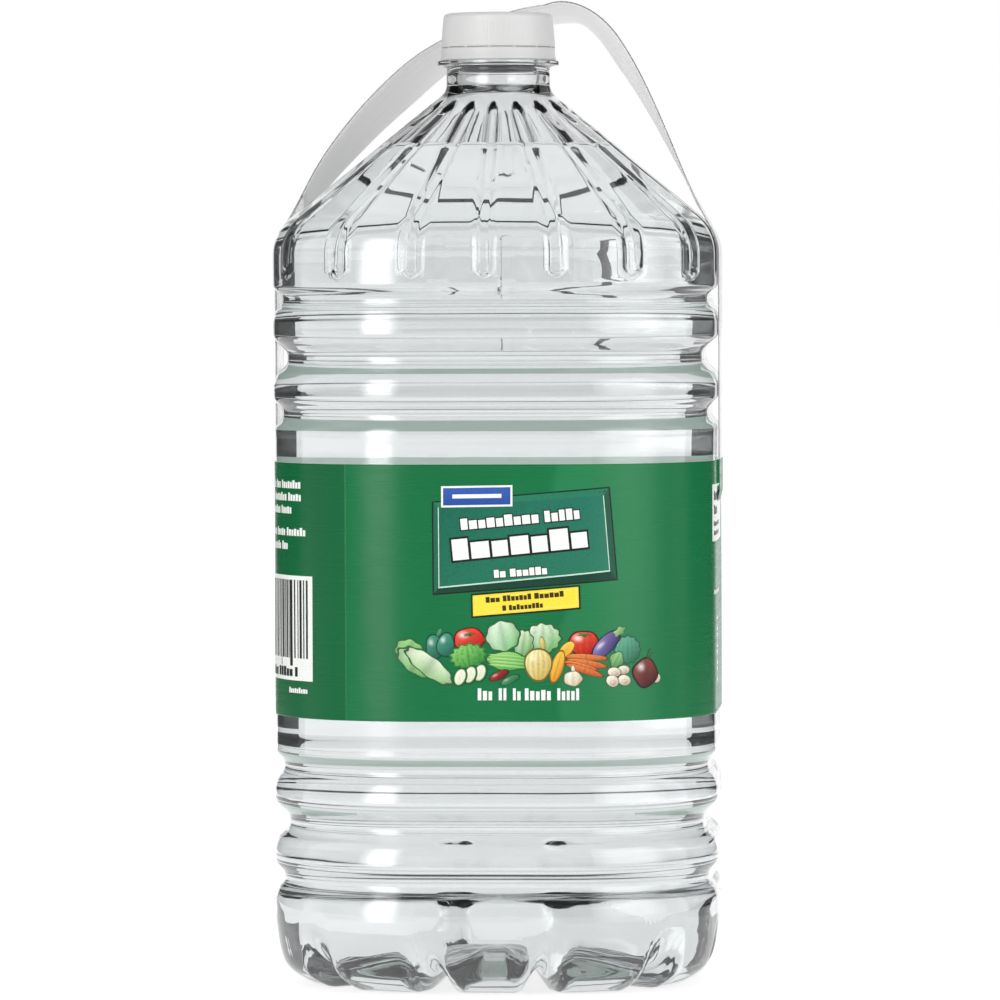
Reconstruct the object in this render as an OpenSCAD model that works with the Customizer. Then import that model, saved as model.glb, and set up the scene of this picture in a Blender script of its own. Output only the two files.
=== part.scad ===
// Large clear bottle of vinegar: a ribbed, square bottle with rounded corners, a fluted
// shoulder, twelve feet, a screw cap, a wrap label and a tape carrying handle.
// Millimetres, +Z up. The origin is on the bottle's axis, in the plane its feet stand on.
// The two ends of the handle are on the -X and +X sides, and its loop hangs behind, at +Y.

/* [Body] */
// Width of the square body across its flat sides
body_w = 136.2; // [120:0.2:165]
// Radius of the body's four upright corners
corner_r = 47.6; // [38:0.5:57]
// Height where the straight side ends and the shoulder starts
shoulder_z = 223.6; // [185:0.2:270]
// Thickness of the blown wall in the body
wall = 0.8; // [0.6:0.05:1]

/* [Shoulder and neck] */
// Radius of the bend from side to shoulder
shoulder_r = 15.2; // [10:0.5:18]
// Lean of the shoulder cone from upright, in degrees
shoulder_lean = 50.2; // [44:0.2:56]
// Wall of the shoulder cone, measured level
shoulder_wall = 2; // [1.8:0.1:3]
// Outer radius of the neck
neck_r = 16; // [15.4:0.1:18.4]
// Radius of the bend from cone to neck
neck_bend_r = 5; // [3:0.5:7]
// Height of the plain neck, up to its carrying ring
neck_h = 5.7; // [4:0.2:9]
// Radius of the bore through the neck
bore_r = 12.8; // [10:0.1:13.2]
// Outer radius of the finish that the cap fits
finish_r = 14.8; // [14:0.1:15.2]
// Height of the finish above the carrying ring
finish_h = 13.4; // [12:0.2:18]
// Outer radius of the carrying ring
collar_r = 18.8; // [17:0.1:22]
// Thickness of the carrying ring
collar_h = 1.4; // [1:0.1:2.5]
// How many flutes run down the shoulder
flute_count = 20; // [12:4:24]
// Depth of a flute in the cone
flute_depth = 1; // [0.4:0.1:1.1]
// Half of a flute's width, as an angle at the axis
flute_half = 2.2; // [1:0.1:3]
// How far a flute runs down over the straight side
flute_drop = 6.7; // [4:0.2:9]

/* [Ribs] */
// Heights of the three lower grooves
lower_z = [33, 50.2, 67.4]; // [28:0.2:70]
// Distances of the three upper grooves below the shoulder
upper_drop = [48.6, 31.4, 13.8]; // [10:0.2:55]
// Half height of the outer and of the middle groove of each three
groove_half = [3.3, 4.7]; // [2.4:0.1:5]
// Depth of the outer and of the middle groove of each three
groove_depth = [2.8, 4.4]; // [1.5:0.1:5]
// Share of a groove's height that is its floor
groove_floor = 0.36; // [0.2:0.02:0.6]

/* [Base] */
// How many feet stand round the base
foot_count = 12; // [8:4:16]
// Height of the rounded heel
heel_h = 20.2; // [15:0.5:26]
// How far the heel comes in from the side at the floor
heel_in = 12.2; // [9:0.5:14]
// Width of a foot's flat sole, measured inwards
sole_w = 8; // [5:0.5:11]
// Half of the angle that a sole spans
sole_half = 10; // [8:0.5:11]
// Rise of the notch between two feet
notch_rise = 7.5; // [4:0.5:9]
// Height of the pushed-up middle above the floor
dome_h = 12; // [9:0.5:16]

/* [Label] */
// How far the label's panel is set in from the ribs
panel_in = 0.5; // [0.2:0.1:1]
// Bare panel left below and above the label
label_margin = [10.4, 9.2]; // [4:0.2:14]
// Thickness of the label's film
label_t = 0.2; // [0.1:0.05:0.4]

/* [Vinegar] */
// How far the vinegar's surface lies below the foot of the neck
fill_drop = 18.8; // [12:0.2:26]

/* [Cap] */
// Thickness of the cap's skirt at its lower edge
cap_wall = 2.55; // [1.8:0.05:3.2]
// How much narrower the cap is at its top
cap_draft = 0.8; // [0.2:0.1:1.2]
// Height of the cap above its tear-off ring
cap_h = 10.5; // [9:0.1:16]
// Radius of the cap's top edge
cap_edge_r = 1.2; // [0.6:0.1:1.8]
// Thickness of the cap's top
cap_top = 1.2; // [0.8:0.1:2]
// Height of the tear-off ring
ring_h = 3.9; // [2.5:0.1:5]
// Gap between the tear-off ring and the cap
ring_gap = 0.25; // [0.2:0.05:0.5]

/* [Handle] */
// Width of the tape
tape_w = 25; // [18:0.5:30]
// Thickness of the clear tape
tape_t = 0.3; // [0.2:0.05:0.5]
// Thickness of the white strip on the loop's inner face
strip_t = 0.25; // [0.2:0.05:0.5]
// How far the tape's ends reach below the label's top edge
tape_tuck = 9; // [5:0.5:14]
// Where along the shoulder bend the tape lets go, in degrees
tape_leave = 30; // [24:1:36]
// Rise of the loop's centre line above the cap
loop_rise = 0.8; // [-4:0.2:20]
// How far the loop's peak lies to the +X side
loop_shift = 18; // [0:0.5:24]
// How far the loop holds its first direction on the -X and on the +X side
loop_hold = [40, 28]; // [20:1:45]
// How far the loop holds level from its peak to each of those sides
loop_level = [32, 20]; // [12:1:34]

/* [Clearances] */
// Gap between the vinegar and the wall
fill_gap = 0.05; // [0.02:0.01:0.2]
// Gap between the cap and the finish
cap_gap = 0.35; // [0.2:0.05:0.6]
// Gap left between pieces that lie on each other
skin_gap = 0.06; // [0.03:0.01:0.15]
// Thickness of the glue between the tape's ends and the ribs
glue_gap = 0.16; // [0.12:0.02:0.3]
// Gap between the loop and the cap it passes behind
loop_gap = 2; // [1:0.2:10]

/* [Hidden] */

half_w = body_w / 2;
flat_half = half_w - corner_r;
CORNER_STEPS = 6;
FLAT_SPAN = 36;
FLAT_STEP = 12;
BEND_STEPS = 3;
NECK_COLUMNS = 32;
LOOP_STEPS = 13;

// Where the label's panel lies between the two sets of ribs
panel_edge = 1;
panel_low = max(lower_z) + groove_half[0] + 2 * panel_edge;
panel_high = shoulder_z - max(upper_drop) - groove_half[0] - 2 * panel_edge;
label_low = panel_low + label_margin[0];
label_high = panel_high - label_margin[1];

// The shoulder's outline: a bend, a straight cone and a bend into the neck
bend_in = shoulder_r * (1 - cos(shoulder_lean));
bend_up = shoulder_r * sin(shoulder_lean);
fillet_out = neck_bend_r * (1 - cos(shoulder_lean));
fillet_up = neck_bend_r * sin(shoulder_lean);
cone_in = half_w - bend_in - neck_r - fillet_out;
cone_up = cone_in / tan(shoulder_lean);
cone_z = shoulder_z + bend_up;
fillet_z = cone_z + cone_up;
neck_z = fillet_z + fillet_up;
collar_z = neck_z + neck_h;
finish_z = collar_z + collar_h;
lip_z = finish_z + finish_h;
fill_z = neck_z - fill_drop;
flute_top_z = fillet_z - 5;

// The cap sits on the lip and its tear-off ring just above the carrying ring
cap_r = finish_r + cap_gap + cap_wall;
ring_z = finish_z + skin_gap;
cap_z = ring_z + ring_h + ring_gap;
cap_top_z = cap_z + cap_h;
cap_inner_z = cap_top_z - cap_top;

// The tape lies on the ribs and lets go part of the way round the shoulder bend
tape_x = half_w + glue_gap;
tape_end_z = label_high - tape_tuck;
leave_x = tape_x - shoulder_r * (1 - cos(tape_leave));
leave_z = shoulder_z + shoulder_r * sin(tape_leave);
peak_z = cap_top_z + loop_rise;
peak_y = cap_r + loop_gap + strip_t + tape_w / 2;

// ---- outlines -------------------------------------------------------------

// Distance from the axis to a rounded square, along a ray at angle a.
// flat is half of a flat side and r is the corner radius.
function folded(a) = let (m = ((a % 90) + 90) % 90) min(m, 90 - m);
function square_at(a, flat, r) =
    let (c = cos(folded(a)), q = sin(folded(a)), side = (flat + r) / c)
    side * q <= flat ? side : flat * (c + q) + sqrt(r * r - flat * flat * (c - q) * (c - q));

// The same outline set in from the body: it turns from square to round as it narrows to the neck
function squareness(half) = max(0, min(1, (half - neck_r) / (half_w - neck_r)));
function body_at(a, in) = square_at(a, flat_half, corner_r - in);
function cone_at(a, half) =
    let (flat = flat_half * squareness(half)) square_at(a, flat, half - flat);

function polar(a, d, z) = [d * cos(a), d * sin(a), z];

// Column angles of each kind of ring
corner_columns = [
    for (quarter = [0:3], step = [0:CORNER_STEPS])
    let (turn = 90 * step / CORNER_STEPS)
    90 * quarter + atan2(flat_half + corner_r * sin(turn), flat_half + corner_r * cos(turn))
];
// Flats too wide for one facet over the feet get columns of their own
flat_angle = 2 * atan2(flat_half, half_w);
flat_parts = flat_angle > FLAT_SPAN ? ceil(flat_angle / FLAT_STEP) : 1;
body_columns = [
    for (quarter = [0:3])
    each [
        for (step = [0:CORNER_STEPS]) corner_columns[quarter * (CORNER_STEPS + 1) + step],
        for (i = [1:1:flat_parts - 1]) 90 * (quarter + 1) + flat_angle * (i / flat_parts - 0.5)
    ]
];
flute_columns = [
    for (i = [0:flute_count - 1], a = [0, flute_half, 180 / flute_count, 360 / flute_count - flute_half])
    360 * i / flute_count + a
];
foot_columns = [
    for (i = [0:foot_count - 1], a = [0, sole_half, 180 / foot_count, 360 / foot_count - sole_half])
    360 * i / foot_count + a
];
neck_columns = [for (i = [0:NECK_COLUMNS - 1]) 360 * i / NECK_COLUMNS];

// ---- skinning -------------------------------------------------------------

// A ring is [column angles, points], and a ring of one point is a pole. Rings with different
// columns are joined by walking round both at once and stepping along whichever has the
// nearer next column. Where both are as near, the ring that lies lower or further in steps
// first, so that two skins of the same rings are split alike, whichever way they are listed.
function ring_angle(ring, i) = i < len(ring[0]) ? ring[0][i] : ring[0][0] + 360;
function ring_rank(ring) = let (p = ring[1][0]) p[2] + 0.001 * norm([p[0], p[1]]);
function join_rings(one, two, one_at, two_at, one_first, i = 0, j = 0) =
    let (n = len(one[0]), m = len(two[0]))
    (i == n || n == 1) && (j == m || m == 1) ? [] :
    let (
        ahead = ring_angle(two, j + 1) - ring_angle(one, i + 1),
        step_one = n > 1 && (m == 1 || j == m || (i < n && (ahead > 0 || (ahead == 0 && one_first))))
    )
    step_one ?
        [[one_at + i % n, two_at + j % m, one_at + (i + 1) % n],
         each join_rings(one, two, one_at, two_at, one_first, i + 1, j)] :
        [[one_at + i % n, two_at + j % m, two_at + (j + 1) % m],
         each join_rings(one, two, one_at, two_at, one_first, i, j + 1)];

function starts(rings, i = 0, at = 0) =
    i == len(rings) ? [] : [at, each starts(rings, i + 1, at + len(rings[i][0]))];

module skin_rings(rings) {
    first = starts(rings);
    polyhedron(
        points = [for (ring = rings) each ring[1]],
        faces = [
            for (i = [0:len(rings) - 2])
            let (one = rings[i], two = rings[i + 1])
            each join_rings(one, two, first[i], first[i + 1], ring_rank(one) < ring_rank(two))
        ],
        convexity = 12
    );
}

// ---- the bottle's surface, from the middle of the base up ------------------

// Profiles of a foot and of the notch between feet: [share of the radius, inset, height]
foot_profile = [
    [0.3, 0, dome_h - 1.5],
    [0.56, 0, 3],
    [1, heel_in + sole_w, 0],
    [1, heel_in, 0],
    [1, heel_in * 0.36, heel_h * 0.23],
    [1, heel_in * 0.12, heel_h * 0.53]
];
notch_profile = [
    [0.3, 0, dome_h - 1],
    [0.56, 0, notch_rise + 2],
    [1, heel_in + sole_w, notch_rise + 0.6],
    [1, heel_in + 1.5, notch_rise],
    [1, heel_in * 0.66, notch_rise + 2],
    [1, heel_in * 0.3, notch_rise + 6]
];

// 1 on a sole and 0 in the middle of a notch
function on_foot(a) =
    let (pitch = 360 / foot_count, off = abs(a - pitch * round(a / pitch)))
    off <= sole_half + 0.01 ? 1 : 0;

// Base rings; thick moves them in and up to make the inside of the base
function base_ring(i, thick) =
    let (
        point = function (a)
            let (p = on_foot(a) == 1 ? foot_profile[i] : notch_profile[i])
            polar(a, p[0] * (body_at(a, p[1]) - thick), p[2] + thick)
    )
    [foot_columns, [for (a = foot_columns) point(a)]];
function base_rings(thick) = [
    [[0], [[0, 0, dome_h + thick]]],
    for (i = [0:len(foot_profile) - 1]) base_ring(i, thick)
];

// Heights and insets of the straight side: each groove is a floor with sloped flanks
function groove(z, half, depth) = [
    [z - half, 0],
    [z - half * groove_floor, depth],
    [z + half * groove_floor, depth],
    [z + half, 0]
];
middle = [0, 1, 0];
side_profile = [
    [heel_h, 0],
    for (i = [0:2]) each groove(lower_z[i], groove_half[middle[i]], groove_depth[middle[i]]),
    [panel_low - panel_edge, 0],
    [panel_low, panel_in],
    [panel_high, panel_in],
    [panel_high + panel_edge, 0],
    for (i = [0:2])
        each groove(shoulder_z - upper_drop[i], groove_half[middle[i]], groove_depth[middle[i]])
];
function side_rings(thick) = [
    for (p = side_profile)
    [body_columns, [for (a = body_columns) polar(a, body_at(a, p[1] + thick), p[0])]]
];

// Heights and half widths of the shoulder
shoulder_profile = [
    [shoulder_z - flute_drop, half_w],
    [shoulder_z - flute_drop / 2, half_w],
    for (i = [0:BEND_STEPS])
    let (turn = shoulder_lean * i / BEND_STEPS)
    [shoulder_z + shoulder_r * sin(turn), half_w - shoulder_r * (1 - cos(turn))],
    [flute_top_z, neck_r + fillet_out + (fillet_z - flute_top_z) * tan(shoulder_lean)]
];
fillet_profile = [
    for (i = [0:BEND_STEPS - 1])
    let (turn = shoulder_lean * (BEND_STEPS - i) / BEND_STEPS)
    [neck_z - neck_bend_r * sin(turn), neck_r + neck_bend_r * (1 - cos(turn))],
    [neck_z, neck_r]
];
flute_fade = [
    [shoulder_z - flute_drop, 0],
    [shoulder_z - flute_drop / 2, 0.4],
    [shoulder_z, 0.5],
    [cone_z, 1],
    [flute_top_z, 0.6]
];
wall_profile = [
    [shoulder_z - flute_drop, wall],
    [shoulder_z, wall + 0.6 * (shoulder_wall - wall)],
    [cone_z, shoulder_wall],
    [fillet_z, shoulder_wall],
    [neck_z, neck_r - bore_r]
];
function in_flute(a) =
    let (pitch = 360 / flute_count, off = abs(a - pitch * round(a / pitch)))
    off < 0.01 ? 1 : 0;
function shoulder_rings() = [
    for (p = shoulder_profile)
    let (cut = flute_depth * lookup(p[0], flute_fade))
    [flute_columns, [for (a = flute_columns) polar(a, cone_at(a, p[1]) - cut * in_flute(a), p[0])]]
];
function neck_ring(r, z) = [neck_columns, [for (a = neck_columns) polar(a, r, z)]];
function fillet_rings() = [for (p = fillet_profile) neck_ring(p[1], p[0])];

// The inside of the shoulder has no flutes, and a ring of its own where the vinegar ends.
// extra keeps the vinegar off the wall.
inner_profile = [
    for (p = shoulder_profile) if (p[0] < fill_z) p,
    [fill_z, lookup(fill_z, shoulder_profile)],
    for (p = shoulder_profile) if (p[0] > fill_z) p
];
function inner_half(p, extra) = p[1] - lookup(p[0], wall_profile) - extra;
function inner_shoulder(profile, extra) = [
    for (p = profile)
    let (half = inner_half(p, extra))
    [body_columns, [for (a = body_columns) polar(a, cone_at(a, half), p[0])]]
];

// ---- pieces ----------------------------------------------------------------

module bottle() {
    color([0.86, 0.92, 0.94, 0.35])
    skin_rings([
        each base_rings(0),
        each side_rings(0),
        each shoulder_rings(),
        each fillet_rings(),
        neck_ring(neck_r, collar_z),
        neck_ring(collar_r, collar_z),
        neck_ring(collar_r, finish_z),
        neck_ring(finish_r, finish_z),
        neck_ring(finish_r, lip_z),
        neck_ring(bore_r, lip_z),
        each reverse([
            each inner_shoulder(inner_profile, 0),
            for (p = fillet_profile) neck_ring(inner_half(p, 0), p[0])
        ]),
        each reverse(side_rings(wall)),
        each reverse(base_rings(wall))
    ]);
}
function reverse(list) = [for (i = [len(list) - 1:-1:0]) list[i]];

module vinegar() {
    color([0.93, 0.95, 0.93, 0.5])
    skin_rings([
        each base_rings(wall + fill_gap),
        each side_rings(wall + fill_gap),
        each inner_shoulder([for (p = inner_profile) if (p[0] <= fill_z) p], fill_gap),
        [[0], [[0, 0, fill_z]]]
    ]);
}

// The film lies on the panel and stands out over the tape's ends
function film_at(a, out) =
    let (
        d = body_at(a, panel_in - skin_gap - out),
        over_tape = tape_x + tape_t + skin_gap + out,
        beside = abs(d * sin(a)) <= tape_w / 2 + 1
    )
    beside ? [sign(cos(a)) * over_tape, d * sin(a)] : [d * cos(a), d * sin(a)];
tape_corner = atan2(tape_w / 2 + 0.9, half_w);
film_columns = [
    tape_corner,
    for (a = corner_columns) if (abs(a - 180 * round(a / 180)) > tape_corner + 1 && a < 180) a,
    180 - tape_corner,
    180 + tape_corner,
    for (a = corner_columns) if (abs(a - 180 * round(a / 180)) > tape_corner + 1 && a > 180) a,
    360 - tape_corner
];
module label() {
    outer = [for (a = film_columns) film_at(a, label_t)];
    inner = [for (a = film_columns) film_at(a, 0)];
    color([0.12, 0.48, 0.3])
    translate([0, 0, label_low])
    linear_extrude(height = label_high - label_low)
    difference() {
        polygon(outer);
        polygon(inner);
    }
}

module cap() {
    color("white")
    rotate_extrude($fn = 96)
    difference() {
        polygon([
            [0, cap_z],
            [cap_r, cap_z],
            for (i = [0:BEND_STEPS])
            let (turn = 90 * i / BEND_STEPS)
            [
                cap_r - cap_draft - cap_edge_r * (1 - cos(turn)),
                cap_top_z - cap_edge_r * (1 - sin(turn))
            ],
            [0, cap_top_z]
        ]);
        translate([-1, cap_z - 1]) square([finish_r + cap_gap + 1, cap_inner_z - cap_z + 1]);
    }
}

module cap_ring() {
    color("white")
    translate([0, 0, ring_z])
    difference() {
        cylinder(h = ring_h, r = cap_r + 0.1, $fn = 96);
        translate([0, 0, -1]) cylinder(h = ring_h + 2, r = finish_r + cap_gap, $fn = 96);
    }
}

// The handle's centre line, as [x, y, z, turn]: up one side, round the shoulder bend, over
// in two curves that meet at the peak, and down the other side. turn is the share of the
// tape's width by which its inner face is turned to the front.
function curve(p, t) =
    p[0] * pow(1 - t, 3) + 3 * p[1] * pow(1 - t, 2) * t + 3 * p[2] * (1 - t) * pow(t, 2) + p[3] * pow(t, 3);
function half_loop(side) = let (i = side < 0 ? 0 : 1) [
    [side * leave_x, leave_z],
    [side * (leave_x - loop_hold[i] * sin(tape_leave)), leave_z + loop_hold[i] * cos(tape_leave)],
    [loop_shift + side * loop_level[i], peak_z],
    [loop_shift, peak_z]
];
left_turn = [[0, 0], [0.06, 0], [0.16, 0.17], [0.3, 0.28], [0.5, 0.37], [0.65, 0.28], [1, 0.18]];
right_turn = [[0, 0], [0.1, 0], [0.35, 0.1], [0.7, 0.25], [1, 0.18]];
function lean_back(x) = let (near = max(0, 1 - abs(x) / leave_x)) peak_y * pow(sin(90 * pow(near, 0.8)), 2);
function loop_point(side, t) =
    let (p = curve(half_loop(side), t))
    [p[0], lean_back(p[0]), p[1], lookup(t, side < 0 ? left_turn : right_turn)];
function side_route(side) = [
    [side * tape_x, 0, tape_end_z, 0],
    [side * tape_x, 0, shoulder_z, 0],
    for (i = [1:2])
    let (turn = tape_leave * i / 3)
    [side * (tape_x - shoulder_r * (1 - cos(turn))), 0, shoulder_z + shoulder_r * sin(turn), 0]
];
handle_route = [
    each side_route(-1),
    for (i = [0:LOOP_STEPS]) loop_point(-1, i / LOOP_STEPS),
    for (i = [LOOP_STEPS - 1:-1:0]) loop_point(1, i / LOOP_STEPS),
    each reverse(side_route(1))
];
strip_first = len(side_route(1)) + 1;

// A flat ribbon along a route, between two distances from its centre line. The width lies
// square to the route, turned out of the depth direction by the route's turn.
function unit(v) = v / norm(v);
function ribbon_ring(route, i, near, far) =
    let (
        here = [route[i][0], route[i][1], route[i][2]],
        before = route[max(i - 1, 0)],
        after = route[min(i + 1, len(route) - 1)],
        along = unit([after[0] - before[0], after[1] - before[1], after[2] - before[2]]),
        level = norm([along[0], along[2]]),
        tx = along[0] / level,
        tz = along[2] / level,
        turn = route[i][3],
        rest = sqrt(1 - turn * turn),
        back = -along[1] * rest,
        across = [back * tx + turn * tz, level * rest, back * tz - turn * tx],
        out = unit(cross(along, across)),
        wide = across * tape_w / 2
    )
    [here - wide + near * out, here + wide + near * out, here + wide + far * out, here - wide + far * out];
module ribbon(route, near, far, first, last) {
    n = last - first + 1;
    // Opposite faces are split along the same diagonal, so that ribbons can lie on each other
    function wall_faces(a, b, a_next, b_next, flip) =
        flip ? [[a, a_next, b_next], [a, b_next, b]] : [[a, a_next, b], [b, a_next, b_next]];
    polyhedron(
        points = [for (i = [first:last]) each ribbon_ring(route, i, near, far)],
        faces = [
            [0, 1, 2],
            [0, 2, 3],
            for (i = [0:n - 2], k = [0:3])
            let (a = 4 * i + k, b = 4 * i + (k + 1) % 4)
            each wall_faces(a, b, a + 4, b + 4, k == 2),
            [4 * n - 4, 4 * n - 2, 4 * n - 3],
            [4 * n - 4, 4 * n - 1, 4 * n - 2]
        ],
        convexity = 6
    );
}
module handle_tape() {
    color([0.9, 0.92, 0.92, 0.6])
    ribbon(handle_route, 0, tape_t, 0, len(handle_route) - 1);
}
module handle_strip() {
    color([0.95, 0.95, 0.94])
    ribbon(handle_route, -strip_t - skin_gap, -skin_gap, strip_first, len(handle_route) - 1 - strip_first);
}

bottle();
vinegar();
label();
cap();
cap_ring();
handle_tape();
handle_strip();
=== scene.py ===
# %% [markdown]
# # A large clear bottle of vinegar
# This notebook gives a imported CAD bottle its looks. The CAD model fixes every size; the
# cells below replace its plain solids with finer surfaces and give each one a finish.
# Everything is in metres, +Z up, with the bottle's axis at x = y = 0. The first cell loads
# the frame and keeps the boxes of its pieces.

# %% Load the frame
import math

import bpy
import numpy as np
from mathutils import Matrix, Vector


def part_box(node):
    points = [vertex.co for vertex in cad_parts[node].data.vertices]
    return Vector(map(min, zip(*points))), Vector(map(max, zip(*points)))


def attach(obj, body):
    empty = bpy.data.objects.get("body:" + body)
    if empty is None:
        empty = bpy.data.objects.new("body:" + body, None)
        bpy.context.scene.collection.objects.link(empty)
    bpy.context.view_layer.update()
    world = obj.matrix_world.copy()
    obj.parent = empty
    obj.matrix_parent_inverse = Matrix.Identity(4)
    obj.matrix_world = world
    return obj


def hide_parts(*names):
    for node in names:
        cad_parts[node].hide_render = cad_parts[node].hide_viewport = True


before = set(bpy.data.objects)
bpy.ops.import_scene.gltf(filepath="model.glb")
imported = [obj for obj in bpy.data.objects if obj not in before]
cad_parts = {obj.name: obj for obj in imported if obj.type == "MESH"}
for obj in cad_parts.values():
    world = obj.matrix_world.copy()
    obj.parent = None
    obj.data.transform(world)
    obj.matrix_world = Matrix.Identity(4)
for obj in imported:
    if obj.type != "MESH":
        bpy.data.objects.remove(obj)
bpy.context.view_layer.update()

MM = 0.001
nodes = {name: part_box(name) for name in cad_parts}
for name, (low, high) in nodes.items():
    print(f"{name:14s} z {low.z / MM:6.1f} to {high.z / MM:6.1f} mm, half width {high.x / MM:5.1f} mm")

# %% [markdown]
# ## Sizes
# Heights and widths that the frame can give are read from the boxes of its pieces. The
# few that a box can't show, such as where the grooves lie, are named here once.

# %% Named sizes
HALF = nodes["bottle"][1].x
LIP_Z = nodes["bottle"][1].z
CORNER_R = 47.6 * MM
FLAT = HALF - CORNER_R
SHOULDER_Z = 223.6 * MM
SHOULDER_R = 15.2 * MM
LEAN = math.radians(50.2)
NECK_R = 16.0 * MM
NECK_BEND = 5.0 * MM
BORE_R = 12.8 * MM
FINISH_R = 14.8 * MM
COLLAR_R = 18.8 * MM
FINISH_H = 13.4 * MM
COLLAR_H = 1.4 * MM
NECK_H = 5.7 * MM
FINISH_Z = LIP_Z - FINISH_H
COLLAR_Z = FINISH_Z - COLLAR_H
NECK_Z = COLLAR_Z - NECK_H
WALL = 0.8 * MM
SHOULDER_WALL = 2.0 * MM
FILL_Z = nodes["vinegar"][1].z
LABEL_LOW, LABEL_HIGH = nodes["label"][0].z, nodes["label"][1].z
HEEL_H = 20.2 * MM
DOME_H = 12.0 * MM
FOOT_COUNT = 12
FLUTE_COUNT = 20
# Each groove: middle height, half height and depth
GROOVES = [
    (33.0 * MM, 3.9 * MM, 2.8 * MM),
    (50.2 * MM, 5.2 * MM, 4.4 * MM),
    (67.4 * MM, 3.9 * MM, 2.8 * MM),
    (175.0 * MM, 3.9 * MM, 2.8 * MM),
    (192.2 * MM, 5.2 * MM, 4.4 * MM),
    (209.8 * MM, 3.4 * MM, 2.8 * MM),
]
# A groove's soft edges reach this many times its half height
GROOVE_FLARE = 1.34
PANEL_LOW, PANEL_HIGH = 72.7 * MM, 169.7 * MM
PANEL_IN = 0.5 * MM

# %% [markdown]
# ## Meshes from arrays
# A surface here is a grid of points: rows run along one parameter and columns round the
# other. NumPy works out the whole grid at once, and two small helpers turn grids into a
# Blender mesh. The same helpers give the piece its finish and its body, and hide the CAD
# pieces it stands for.

# %% Grid helpers
def quads(rows, cols, wrap, first=0):
    """Quads between neighbouring rows of a grid: each joins point (r, c) to (r, c+1),
    (r+1, c+1) and (r+1, c). With wrap, the last column joins the first again."""
    r = np.arange(rows - 1)[:, None]
    c = np.arange(cols if wrap else cols - 1)[None, :]
    nxt = (c + 1) % cols
    corners = [r * cols + c, r * cols + nxt, (r + 1) * cols + nxt, (r + 1) * cols + c]
    return first + np.stack(corners, -1).reshape(-1, 4)


def fan(ring, centre, flip):
    """Triangles from a ring of point numbers to a centre point."""
    nxt = np.roll(ring, -1)
    tri = np.stack([ring, nxt, np.full_like(ring, centre)], -1)
    return tri[:, ::-1] if flip else tri


def make_piece(name, points, faces, material, stands_for=(), uv=None, colours=None):
    """Puts arrays into a mesh, shades it smooth and fixes it to the bottle's one body."""
    mesh = bpy.data.meshes.new(name)
    mesh.from_pydata(np.asarray(points, float).tolist(), [], [list(map(int, f)) for f in faces])
    mesh.polygons.foreach_set("use_smooth", np.ones(len(mesh.polygons), bool))
    loops = np.empty(len(mesh.loops), int)
    mesh.loops.foreach_get("vertex_index", loops)
    if uv is not None:
        layer = mesh.uv_layers.new(name="UVMap")
        layer.data.foreach_set("uv", np.asarray(uv, float)[loops].ravel())
    if colours is not None:
        layer = mesh.color_attributes.new("ink", "FLOAT_COLOR", "POINT")
        rgba = np.ones((len(points), 4))
        rgba[:, :3] = colours
        layer.data.foreach_set("color", rgba.ravel())
    piece = bpy.data.objects.new(name, mesh)
    bpy.context.scene.collection.objects.link(piece)
    mesh.materials.append(material)
    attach(piece, "root")
    if stands_for:
        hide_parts(*stands_for)
    triangles = sum(len(f) - 2 for f in faces)
    print(f"{name}: {len(points)} points, {triangles} triangles")


# %% [markdown]
# ## Shader sums in Python
# Node trees are hard to read when they do arithmetic. A socket wrapped in this class can
# be added, multiplied and compared like a number, and each sum adds its Math node. A second
# class holds a material, with one method that adds any other node.

# %% A socket that does sums
class Sum:
    def __init__(self, tree, socket):
        self.tree, self.socket = tree, socket

    def math(self, operation, *values):
        node = self.tree.nodes.new("ShaderNodeMath")
        node.operation = operation
        for i, value in enumerate((self,) + values):
            if isinstance(value, Sum):
                self.tree.links.new(value.socket, node.inputs[i])
            else:
                node.inputs[i].default_value = value
        return Sum(self.tree, node.outputs[0])

    def __add__(self, other):
        return self.math("ADD", other)

    __radd__ = __add__

    def __mul__(self, other):
        return self.math("MULTIPLY", other)

    __rmul__ = __mul__

    def __gt__(self, other):
        return self.math("GREATER_THAN", other)

    def step(self, low, high):
        """0 below low, 1 above high and smooth between."""
        node = self.tree.nodes.new("ShaderNodeMapRange")
        node.interpolation_type = "SMOOTHSTEP"
        self.tree.links.new(self.socket, node.inputs["Value"])
        node.inputs["From Min"].default_value, node.inputs["From Max"].default_value = low, high
        return Sum(self.tree, node.outputs["Result"])


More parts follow.
